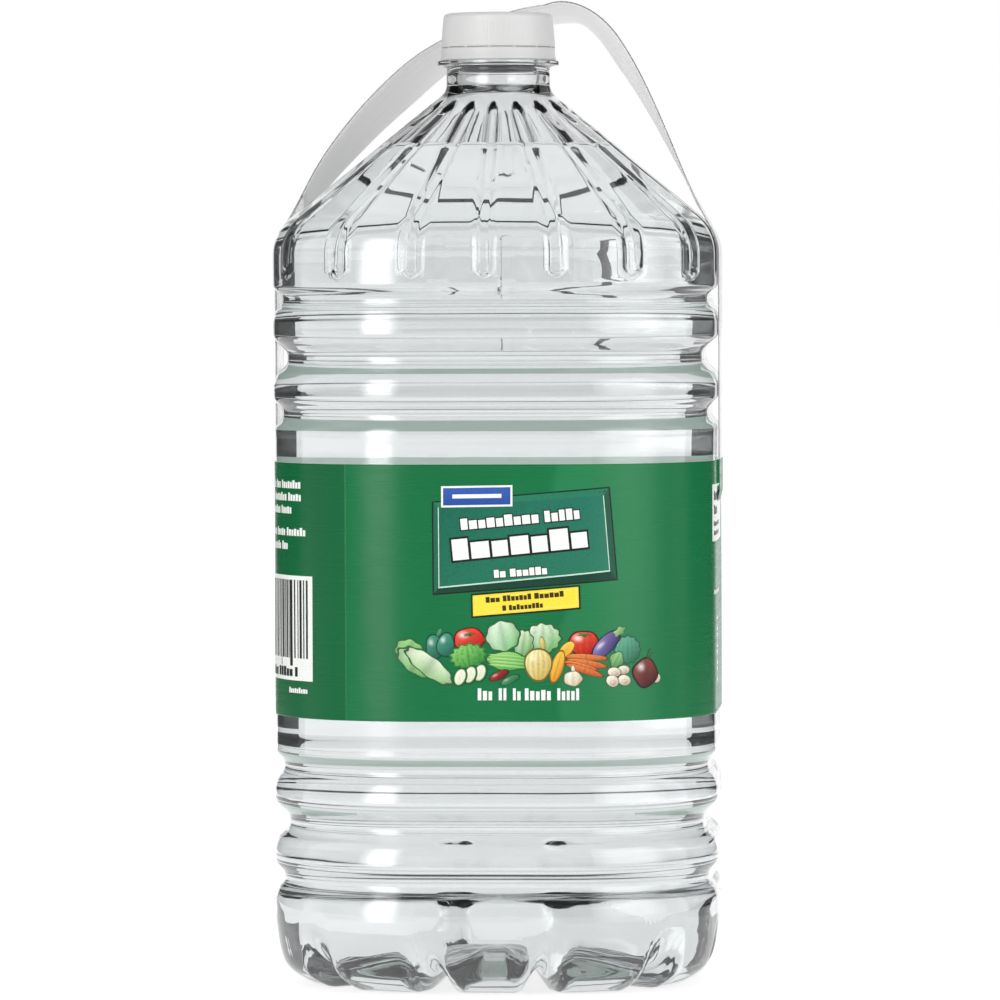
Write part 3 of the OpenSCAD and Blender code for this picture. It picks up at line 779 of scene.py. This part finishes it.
# Three leafy heads
blob((17.5, 108.3), (5.7, 4.7), 0, (216, 232, 204), (120, 178, 112), 1,
     wobble=(11, 0.07, 0.5), lines=(13, 0.28), **LEAF)
blob((11.6, 106.6), (3.2, 4.4), -8, (206, 226, 190), (108, 168, 98), 2,
     wobble=(9, 0.08, 1.5), lines=(9, 0.3), **LEAF)
blob((5.4, 108.9), (5.4, 4.9), 12, (212, 232, 206), (134, 190, 132), 3,
     wobble=(8, 0.045, 0.2), lines=(8, 0.24), **LEAF)
# Second tomato
blob((29.8, 106.7), (5.0, 3.9), 0, (236, 78, 50), (176, 24, 20), 1,
     rim=(84, 18, 16), wobble=(5, 0.03, 1.6), lines=(15, 0.22), gleam=0.7)
blob((29.9, 109.2), (1.7, 0.5), 0, (70, 140, 64), (34, 90, 40), 3,
     rim=(30, 60, 30), wobble=(5, 0.35, 1))
# Broccoli and a small leaf
blob((43.6, 104.5), (4.4, 4.4), 0, (96, 172, 138), (38, 108, 82), 1,
     rim=(30, 86, 62), wobble=(12, 0.06, 0.2), lines=(19, 0.3))
blob((40.0, 101.6), (2.2, 2.6), -28, (150, 196, 130), (86, 150, 88), 2,
     wobble=(4, 0.08, 0), lines=(9, 0.3), **LEAF)
# Aubergine and its stalk
blob((37.1, 106.6), (5.9, 2.6), 43, (122, 108, 168), (52, 42, 92), 3,
     rim=(26, 22, 48), wobble=(1, 0.1, 3.1), gleam=0.55)
blob((40.9, 110.1), (2.1, 1.2), 30, (160, 190, 130), (90, 140, 90), 4, wobble=(5, 0.2, 0), **LEAF)

# %% Vegetables at the front
# Long cabbage in three leaves
blob((-22.8, 104.4), (4.6, 3.7), -20, (150, 200, 126), (84, 148, 78), 4,
     wobble=(7, 0.07, 0.3), lines=(7, 0.25), **LEAF)
blob((-20.6, 100.9), (7.0, 3.5), -34, (190, 218, 170), (116, 172, 106), 5,
     wobble=(8, 0.05, 1.0), lines=(8, 0.3), **LEAF)
blob((-16.8, 99.9), (9.0, 3.1), -37, (222, 234, 206), (150, 192, 134), 6,
     wobble=(9, 0.05, 0.0), lines=(7, 0.3), **LEAF)
# Bunch of herbs
blob((-5.0, 102.9), (5.7, 3.8), 8, (132, 204, 104), (54, 140, 58), 5,
     rim=(40, 110, 48), wobble=(13, 0.11, 0.6), lines=(21, 0.45))
# Celery with four pale ribs
blob((6.8, 101.4), (6.6, 3.0), -4, (150, 206, 112), (76, 156, 70), 6,
     wobble=(4, 0.05, 0.8), **LEAF)
for rise in (-1.5, -0.5, 0.5, 1.5):
    blob((6.8, 101.4 + rise), (6.0, 0.42), -5, (176, 218, 140), (110, 180, 88), 8, rim=(70, 140, 64))
# Cucumber slices, each with a dark skin under a pale face: place and layer
SLICES = ((-1.5, 97.9, 7), (-4.5, 97.3, 9), (-7.5, 96.6, 11))
for u_mm, z_mm, layer in SLICES:
    blob((u_mm + 0.25, z_mm - 0.05), (1.9, 2.95), -20, (50, 120, 60), (30, 92, 46), layer,
         rim=(24, 64, 34))
    blob((u_mm, z_mm), (1.65, 2.6), -20, (240, 240, 222), (214, 222, 190), layer + 1,
         rim=(120, 160, 100), lines=(5, 0.08))
# Two small chillies
blob((7.6, 95.7), (3.2, 1.15), 24, (76, 148, 96), (34, 98, 62), 7, rim=(20, 58, 38), gleam=0.3)
blob((4.3, 97.1), (3.3, 1.35), 25, (160, 52, 44), (92, 20, 22), 8, rim=(48, 14, 14), gleam=0.4)
# Carrots: place, half sizes, tilt, two colours and how close the rings are
CARROTS = (
    ((30.5, 102.5), (7.0, 1.0), -4, (232, 142, 78), (196, 96, 44), 26),
    ((30.8, 100.7), (6.8, 1.05), -11, (230, 136, 72), (192, 92, 42), 24),
    ((28.9, 99.9), (5.6, 0.95), -15, (232, 140, 76), (194, 94, 44), 22),
    ((30.0, 98.6), (6.4, 1.05), -19, (228, 132, 70), (188, 88, 40), 24),
)
for n, (place, size, tilt, light, dark, rings) in enumerate(CARROTS):
    blob(place, size, tilt, light, dark, 4 + n, rim=(120, 56, 24), lines=(rings, 0.3))
# Squash with a bent neck
blob((24.6, 104.9), (1.7, 3.2), -44, (250, 204, 84), (226, 158, 44), 8,
     rim=(130, 88, 24), lines=(5, 0.15))
blob((21.9, 100.0), (1.9, 5.3), -17, (248, 196, 76), (216, 146, 40), 9,
     rim=(130, 88, 24), wobble=(1, 0.06, 1.6), lines=(8, 0.25))
# Onion and its neck
blob((17.4, 106.6), (0.75, 2.2), 10, (222, 206, 132), (180, 150, 70), 9, rim=(110, 90, 40))
blob((16.1, 100.4), (4.3, 5.1), 0, (242, 230, 160), (206, 176, 92), 10,
     rim=(112, 92, 40), wobble=(3, 0.035, -1.57), lines=(17, 0.3), gleam=0.35)
# Garlic
blob((26.6, 98.7), (0.6, 1.5), 8, (238, 230, 206), (200, 186, 150), 11, rim=(110, 100, 76))
blob((26.5, 96.1), (2.95, 2.4), 0, (244, 238, 220), (206, 194, 160), 12,
     rim=(110, 100, 76), wobble=(5, 0.04, 0.3), lines=(9, 0.2))
# Mushrooms: place and half sizes; the small one stands behind the dark pepper
MUSHROOMS = ((42.2, 98.5, 1.9, 1.5), (39.2, 97.9, 2.1, 1.6), (42.4, 95.4, 2.1, 1.8), (38.6, 95.2, 2.1, 1.9))
for n, (u_mm, z_mm, a, b) in enumerate(MUSHROOMS):
    blob((u_mm, z_mm), (a, b), 0, (240, 232, 214), (188, 176, 152), 8 + n,
         rim=(96, 88, 70), wobble=(2, 0.08, 0.5 * n))
    blob((u_mm + 0.1, z_mm - 0.5), (a * 0.45, b * 0.4), 0, (222, 210, 186), (170, 154, 126), 12,
         rim=(150, 136, 110))
blob((53.7, 95.7), (1.5, 1.5), 0, (240, 232, 214), (188, 176, 152), 8, rim=(96, 88, 70))
# Dark pepper and its stalk
blob((49.6, 97.4), (4.5, 4.5), 0, (136, 62, 54), (66, 20, 24), 9,
     rim=(34, 12, 14), wobble=(4, 0.06, 0.8), lines=(6, 0.25), gleam=0.65)
blob((51.0, 102.9), (0.55, 1.7), -18, (70, 110, 60), (40, 76, 40), 10, rim=(24, 44, 24))
print(f"{len(ink_points)} patches so far")

# %% [markdown]
# ## Small print round the sides and back
# The left side carries rows of small blocks and a box of plain stripes, the right side a
# pale box and some small squares, and the back a plain panel of thin rows. The back isn't
# seen from the front, so its layout is the usual one for a bottle like this.

# %% Left side
def row_of_words(u, end, z, height, counts, colour, layer, wide):
    """Words from u until the next one would pass end, their lengths taken in turn."""
    n = 0
    while u + counts[n % len(counts)] * height * (wide + 0.13) < end:
        u = words(u, z, height, (counts[n % len(counts)],), colour, layer, wide=wide)
        n += 1


for n, z_mm in enumerate((154.0, 150.2, 146.3, 139.6, 135.4)):
    row_of_words(-138.0 + 2 * n, -57.5, z_mm - 1.2, 2.5, (6, 4, 9, 5, 7, 3)[n:] + (8, 5), WHITE, 1, 0.5)
bar(-97.0, 94.4, 40.3, 31.9, WHITE, 0)
stripe, side = 0, -95.5
WIDTHS = (0.9, 0.5, 1.5, 0.5, 0.6, 1.1, 0.5, 1.8, 0.8, 0.5, 1.2, 0.6)
while side < -59.5:
    wide = WIDTHS[stripe % 12]
    tall = 2.4 if stripe % 13 in (0, 6) else 0.0
    bar(side, 101.2 - tall, wide, 23.8 + tall, BLACK, 1)
    side += wide + WIDTHS[(stripe * 5 + 3) % 12] * 0.7
    stripe += 1
words(-93.0, 95.6, 2.9, (1, 5, 5, 1), BLACK, 1, wide=0.62)
words(-70.0, 90.6, 1.7, (9,), WHITE, 1, wide=0.55)

# %% Right side and back
bar(86.0, 135.8, 42.0, 17.4, WHITE, 0)
for z_mm, blocks in ((148.3, (6, 4)), (144.0, (5, 7)), (140.4, (9, 6, 7)), (137.6, (7, 8, 6))):
    words(88.5, z_mm, 2.9 if z_mm > 143 else 1.5, blocks, BLACK, 1, wide=0.6)
words(88.0, 119.6, 1.5, (8, 9, 7), WHITE, 1, wide=0.55)
for z_mm in (112.4, 107.2, 102.0, 96.8):
    bar(97.0, z_mm - 4.4, 7.0, 4.4, WHITE, 0)
    blob((100.5, z_mm - 2.2), (1.7, 1.5), 0, (30, 36, 32), (22, 26, 24), 1, rim=(22, 26, 24))
back_u = 2 * QUARTER / MM
GREY = ink(80, 86, 82)
bar(back_u - 30, 90, 60, 66, WHITE, 0)
bar(back_u - 27, 148, 54, 4, ink(120, 126, 122), 1)
for row in range(11):
    z_mm = 143.0 - row * 4.7
    bar(back_u - 27, z_mm - 1.6, 54, 0.3, BLACK, 1)
    words(back_u - 26.5, z_mm, 1.7, (5 + row % 4, 6, 3), GREY, 1, wide=0.6)
    words(back_u + 20, z_mm, 1.7, (3,), GREY, 1, wide=0.6)

label_ink = Finish("label_ink", Specular_IOR_Level=0.22)
tint = label_ink.node("ShaderNodeAttribute", {"attribute_name": "ink"})
grain = label_ink.noise(2600.0, detail=1.0)
shadow = label_ink.mix(grain.step(0.35, 0.65), (0.9, 0.91, 0.9), (1.0, 1.0, 1.0))
label_ink.feed("Base Color", label_ink.times(tint, shadow))
label_ink.feed("Roughness", 0.24 + grain * 0.1)
all_ink = np.concatenate(ink_points)
all_colours = np.concatenate(ink_colours)
make_piece("label_print", all_ink, ink_faces, label_ink.material, colours=all_colours)

# %% [markdown]
# ## Cap and tear-off ring
# The cap is moulded in white plastic with fine upright grip ribs. Its wall is a profile
# turned about the axis, and the ribs are a ripple on the radius. The tear-off ring below
# hangs on short bridges, which break when the cap is first turned.

# %% Cap
cap_low, cap_high = nodes["cap"]
CAP_R, CAP_Z, CAP_TOP = cap_high.x, cap_low.z, cap_high.z
RING_LOW, RING_HIGH = nodes["cap_ring"][0].z, nodes["cap_ring"][1].z
GRIP_RIBS = 120
GRIP_COLUMNS = 480


def turned(profile, ripple, name, finish, stands_for, count=GRIP_COLUMNS):
    """Turns a (radius, height, rib) profile about the axis. The radius loses
    ripple * rib * (1 + cos(GRIP_RIBS * angle)) / 2. A profile that ends where it starts
    becomes a ring; any other is closed by a point on the axis at each end."""
    profile = np.array(profile, float)
    angle = np.arange(count) * 2 * math.pi / count
    radius = profile[:, :1] - ripple * profile[:, 2:] * (0.5 + 0.5 * np.cos(GRIP_RIBS * angle))
    height = np.repeat(profile[:, 1:2], count, 1)
    points = np.stack([radius * np.cos(angle), radius * np.sin(angle), height], -1)
    rows = len(profile)
    first = np.arange(count)
    if np.allclose(profile[0], profile[-1]):
        points = points[:-1].reshape(-1, 3)
        faces = quads(rows - 1, count, True).tolist()
        last = first + (rows - 2) * count
        faces += np.stack([last, np.roll(last, -1), np.roll(first, -1), first], -1).tolist()
    else:
        poles = [(0, 0, profile[0, 1]), (0, 0, profile[-1, 1])]
        points = np.concatenate([points.reshape(-1, 3), poles])
        faces = quads(rows, count, True).tolist()
        faces += fan(first, rows * count, True).tolist()
        faces += fan(first + (rows - 1) * count, rows * count + 1, False).tolist()
    make_piece(name, points, faces, finish.material, stands_for)


cap_plastic = Finish("cap_plastic")
mottle = cap_plastic.noise(220.0, detail=3.0)
cap_plastic.feed("Base Color", cap_plastic.mix(mottle, (0.6, 0.605, 0.6), (0.65, 0.65, 0.645)))
cap_plastic.feed("Roughness", 0.3 + mottle * 0.12)
cap_plastic.bump(cap_plastic.noise(1500.0), 0.00002)

bevel = 1.5 * MM
taper = 0.8 * MM
top_r = CAP_R - taper
inner_r = FINISH_R + 0.35 * MM
up = np.linspace(0.03, 1, 22)
ribbed = ease((up - 0.1) / 0.08) * ease((0.94 - up) / 0.08)
skirt = np.stack([CAP_R - taper * up, CAP_Z + up * (CAP_TOP - CAP_Z - bevel), ribbed], 1)
profile = (
    [(r * MM, CAP_TOP - 1.2 * MM, 0) for r in (0.3, 2, 5, 9)]
    + [(inner_r - 0.6 * MM, CAP_TOP - 1.2 * MM, 0), (inner_r, CAP_TOP - 1.8 * MM, 0)]
    + [(inner_r, CAP_Z, 0), (CAP_R - 0.25 * MM, CAP_Z, 0), (CAP_R, CAP_Z + 0.25 * MM, 0)]
    + skirt.tolist()
    + [(r, z, 0) for r, z in rounded(top_r - bevel, CAP_TOP - bevel, bevel, 8, 90, 9)]
    + [(top_r - 2.6 * MM, CAP_TOP, 0), (top_r - 3.2 * MM, CAP_TOP - 0.12 * MM, 0)]
    + [(r * MM, CAP_TOP - 0.12 * MM, 0) for r in (9, 5, 2, 0.3)]
)
turned(profile, 0.1 * MM, "cap_body", cap_plastic, ("cap",))

# %% Tear-off ring
ring_r = nodes["cap_ring"][1].x
hidden = [(inner_r, RING_HIGH - 0.2 * MM, 0), (inner_r, RING_LOW, 0)]
outer_face = [
    (ring_r - 0.2 * MM, RING_LOW, 0),
    (ring_r, RING_LOW + 0.2 * MM, 0),
    (ring_r, RING_LOW + 1.0 * MM, 0),
    (ring_r - 0.16 * MM, RING_LOW + 1.2 * MM, 0),
    (ring_r - 0.16 * MM, RING_HIGH - 0.5 * MM, 0),
    (ring_r - 0.36 * MM, RING_HIGH, 0),
]
tongue = [
    (CAP_R - 0.55 * MM, RING_HIGH + 0.02 * MM, 0),
    (CAP_R - 0.75 * MM, CAP_Z - 0.03 * MM, 0),
    (inner_r + 0.6 * MM, CAP_Z - 0.03 * MM, 0),
]
profile = hidden + outer_face + tongue + hidden[:1]
turned(profile, 0.0, "cap_tear_ring", cap_plastic, ("cap_ring",), 240)

# %% Bridges between ring and cap
BRIDGES = 14
bridges = []
bridge_faces = []
for n in range(BRIDGES):
    angle = 2 * math.pi * (n + 0.3) / BRIDGES
    spread = np.array([-1, 1, 1, -1]) * 0.55 * MM / CAP_R
    for r in (CAP_R - 0.8 * MM, CAP_R - 0.12 * MM):
        for s, z in zip(spread, [RING_HIGH - 0.05 * MM] * 2 + [CAP_Z + 0.05 * MM] * 2):
            bridges.append((r * math.cos(angle + s), r * math.sin(angle + s), z))
    k = 8 * n
    bridge_faces += [(k + 3, k + 2, k + 1, k), (k + 4, k + 5, k + 6, k + 7)]
    bridge_faces += [(k + i, k + (i + 1) % 4, k + 4 + (i + 1) % 4, k + 4 + i) for i in range(4)]
make_piece("cap_bridges", bridges, bridge_faces, cap_plastic.material)

# %% [markdown]
# ## Carrying tape
# The handle is a loop of clear tape with a white strip stuck to the middle of its inner
# side. The tape lies on the ribs, leaves the shoulder, passes behind the cap and comes down
# on the other side. Its centre line is a curve with a turn at each point, which tells how
# far the tape's face is turned to the front, and both ribbons are built along it.

# %% The tape's route
TAPE_X = HALF + 0.16 * MM
LEAVE = math.radians(30)
PEAK_Y = CAP_R + 2.25 * MM + TAPE_HALF
PEAK = np.array([18.0 * MM, CAP_TOP + 0.8 * MM])
HOLD = (40 * MM, 28 * MM)
LEVEL = (32 * MM, 20 * MM)
TURNS = (
    ((0, 0.06, 0.16, 0.3, 0.5, 0.65, 1), (0, 0, 0.17, 0.28, 0.37, 0.28, 0.18)),
    ((0, 0.1, 0.35, 0.7, 1), (0, 0, 0.1, 0.25, 0.18)),
)


def half_route(side, steps):
    """One half of the loop: up the ribs, round the shoulder by 30 degrees, then a cubic
    Bezier curve to the peak. Columns are x, y, z and the tape's turn."""
    i = 0 if side < 0 else 1
    up = np.linspace(LABEL_HIGH - 9 * MM, SHOULDER_Z, 20)
    ribs = np.stack([np.full(20, side * TAPE_X), 0 * up, up, 0 * up], 1)
    a = np.linspace(0, LEAVE, 7)[1:-1]
    x, z = TAPE_X - SHOULDER_R * (1 - np.cos(a)), SHOULDER_Z + SHOULDER_R * np.sin(a)
    bend = np.stack([side * x, 0 * a, z, 0 * a], 1)
    start_x = side * (TAPE_X - SHOULDER_R * (1 - math.cos(LEAVE)))
    start = np.array([start_x, SHOULDER_Z + SHOULDER_R * math.sin(LEAVE)])
    rise = start + HOLD[i] * np.array([-side * math.sin(LEAVE), math.cos(LEAVE)])
    level = PEAK + np.array([side * LEVEL[i], 0])
    t = np.linspace(0, 1, steps)[:, None]
    curve = start * (1 - t) ** 3 + 3 * rise * (1 - t) ** 2 * t + 3 * level * (1 - t) * t**2 + PEAK * t**3
    near = np.maximum(0, 1 - np.abs(curve[:, 0]) / abs(start[0]))
    back = PEAK_Y * np.sin(math.pi / 2 * near**0.8) ** 2
    fine = np.linspace(0, 1, 201)
    smooth = np.convolve(np.pad(np.interp(fine, *TURNS[i]), 10, "edge"), np.ones(21) / 21, "valid")
    turn_by = np.interp(t[:, 0], fine, smooth) * ease(t[:, 0] * 12)
    loop = np.stack([curve[:, 0], back, curve[:, 1], turn_by], 1)
    return np.concatenate([ribs, bend, loop]), len(ribs) + len(bend)


STEPS = 49
left, ribs_end = half_route(-1, STEPS)
right, _ = half_route(1, STEPS)
route = np.concatenate([left, right[-2::-1]])
print(f"the tape's route has {len(route)} points and peaks at {route[:, 2].max() / MM:.1f} mm")


def ribbon(name, near, far, half, first, last, finish, stands_for, crown):
    """A ribbon between two distances from the route, on its outer side. across is square to
    the route; its share out of the depth direction is the route's turn. The ribbon's middle
    sinks by crown, which gives it the slight crease of a bent tape."""
    spots = route[:, :3]
    along = np.gradient(spots, axis=0)
    along /= np.linalg.norm(along, axis=1)[:, None]
    level = np.hypot(along[:, 0], along[:, 2])
    tx, tz, turn_by = along[:, 0] / level, along[:, 2] / level, route[:, 3]
    rest = np.sqrt(1 - turn_by**2)
    back = -along[:, 1] * rest
    across = np.stack([back * tx + turn_by * tz, level * rest, back * tz - turn_by * tx], 1)
    out = np.cross(along, across)
    out /= np.linalg.norm(out, axis=1)[:, None]
    pick = slice(first, last)
    s = np.linspace(-1, 1, 9)
    step = np.arange(len(route))
    free = ease((step - ribs_end) / 6) * ease((len(route) - ribs_end - step) / 6)
    dip = -crown * free[:, None] * (1 - np.abs(s)) ** 1.3
    rows = []
    for s_list, d in ((s, far), (s[::-1], near)):
        sink = dip if d == far else dip[:, ::-1]
        sideways = across[:, None] * half * s_list[None, :, None]
        rows.append(spots[:, None] + sideways + out[:, None] * (d + sink)[..., None])
    grid = np.concatenate(rows, 1)[pick]
    n, m = grid.shape[:2]
    faces = quads(n, m, True)[:, ::-1].tolist()
    faces += [list(range(m)), list(range(n * m - 1, n * m - m - 1, -1))]
    v = np.concatenate([s, s[::-1]])[None, :] + np.zeros((n, 1))
    length = np.cumsum(np.linalg.norm(np.diff(spots, axis=0), axis=1))
    length = np.concatenate([[0], length])[pick]
    uv = np.stack([length[:, None] + 0 * v, v * half], -1).reshape(-1, 2)
    make_piece(name, grid.reshape(-1, 3), faces, finish.material, stands_for, uv=uv)


# %% Tape and strip finishes
clear_tape = Finish("clear_tape", Base_Color=(0.97, 0.98, 0.98, 1), IOR=1.46, **CLEAR)
# Painted light: the white strip glows at strength 0.34, though it is no lamp. This lifts its shaded inner
# face and stands in for light passing through the strip.
white_strip = Finish("white_strip", Roughness=0.45, Emission_Color=(1, 1, 1, 1), Emission_Strength=0.34)


def lengthwise(finish, scale):
    """Fine streaks along a ribbon, from noise on its own UV map."""
    layout = finish.node("ShaderNodeTexCoord", output="UV")
    spot = finish.node("ShaderNodeMapping", Vector=layout, Scale=(0.03, 1, 1))
    return finish.node("ShaderNodeTexNoise", Vector=spot, Scale=scale, Detail=3.0)


drawn = lengthwise(clear_tape, 1800.0)
clear_tape.feed("Roughness", 0.03 + drawn * 0.1)
clear_tape.bump(drawn, 0.00003)
drawn = lengthwise(white_strip, 1400.0)
white_strip.feed("Base Color", white_strip.mix(drawn, (0.42, 0.43, 0.42), (0.58, 0.58, 0.57)))
white_strip.bump(drawn, 0.00004)
CREASE = 0.25 * MM
ribbon("carry_tape", 0.0, 0.3 * MM, TAPE_HALF, 0, len(route),
       clear_tape, ("handle_tape",), CREASE)
first = ribs_end + 4
ribbon("carry_strip", -0.31 * MM, -0.06 * MM, TAPE_HALF * 0.985, first, len(route) - first,
       white_strip, ("handle_strip",), CREASE)

# %% [markdown]
# ## Floor, light and boards
# The floor is pale and so wide that it meets a white background without a line. The room is
# bright behind the bottle and dimmer in front, so that the front of the film and plastic
# isn't washed out. Two dark boards stand out of view behind the sides: curved clear edges
# bend them into sight, and that draws the dark outline by which clear things are seen.

# %% Stage
FLOOR = 30.0
PALE = (0.45, 0.45, 0.45, 1)
floor_finish = Finish("floor", Base_Color=PALE, Emission_Color=(1, 1, 1, 1), Emission_Strength=0.8)
dust = floor_finish.noise(3.0)
floor_finish.feed("Roughness", 0.65 + dust * 0.1)


def stage_mesh(name, points, faces, finish, glow=None):
    """Adds a piece of the stage. glow is how brightly each point shines, from 0 to 1."""
    mesh = bpy.data.meshes.new(name)
    mesh.from_pydata(points, [], faces)
    mesh.materials.append(finish.material)
    if glow is not None:
        layer = mesh.color_attributes.new("glow", "FLOAT_COLOR", "POINT")
        layer.data.foreach_set("color", np.repeat(np.ravel(glow)[:, None], 4, 1).ravel())
    obj = bpy.data.objects.new(name, mesh)
    bpy.context.scene.collection.objects.link(obj)
    return obj


corners = [(-FLOOR, -FLOOR, 0), (FLOOR, -FLOOR, 0), (FLOOR, FLOOR, 0), (-FLOOR, FLOOR, 0)]
stage_mesh("floor", corners, [(0, 1, 2, 3)], floor_finish)

world = bpy.data.worlds.new("studio")
world.use_nodes = True
tree = world.node_tree
ground = tree.nodes["Background"]
coords = tree.nodes.new("ShaderNodeTexCoord")
split = tree.nodes.new("ShaderNodeSeparateXYZ")
tree.links.new(coords.outputs["Generated"], split.inputs[0])
FRONT_LIGHT = 0.2
glow = FRONT_LIGHT + (1 - FRONT_LIGHT) * Sum(tree, split.outputs["Y"]).step(-0.25, 0.45)
ground.inputs["Color"].default_value = (1, 1, 1, 1)
tree.links.new(glow.socket, ground.inputs["Strength"])
bpy.context.scene.world = world
bpy.context.scene.view_settings.view_transform = "Standard"


def card(name, size, place, brightness):
    """An upright card that faces the bottle: a lamp that fades towards its edges if it has
    a brightness, and otherwise a dark board."""
    x, y, z = place
    away = math.hypot(x, y)
    s, t = np.meshgrid(np.linspace(-0.5, 0.5, 17), np.linspace(-0.5, 0.5, 9))
    wide = size[0] * s / away
    points = np.stack([x - y * wide, y + x * wide, z + size[1] * t], -1).reshape(-1, 3)
    fade = ease((0.5 - np.abs(s)) / 0.32) * ease((0.5 - np.abs(t)) / 0.2)
    shade = 0.8 if brightness else 0.05
    finish = Finish(name, Base_Color=(shade, shade, shade, 1), Roughness=1.0, Emission_Strength=brightness)
    if brightness:
        finish.feed("Emission Color", finish.node("ShaderNodeAttribute", {"attribute_name": "glow"}))
    obj = stage_mesh(name, points.tolist(), quads(9, 17, False).tolist(), finish, fade)
    obj.visible_camera = False
    obj.visible_shadow = False
    obj.visible_diffuse = bool(brightness)
    return obj


def round_about(angle, away, height):
    """A place by its angle from the front, counted to the right, and its distance."""
    a = math.radians(angle)
    return (away * math.sin(a), -away * math.cos(a), height)


card("soft_box_right", (1.5, 1.7), round_about(56, 1.35, 0.55), 1.5)
card("soft_box_left", (0.8, 1.7), round_about(-33, 1.4, 0.55), 4.4)
for side, sign, start in (("right", 1, 151), ("left", -1, 146)):
    for n in range(3):
        place = round_about(sign * (start - 18 * n), 1.0, 0.6)
        card(f"dark_board_{side}_{n}", (0.32, 1.5), place, 0.0)
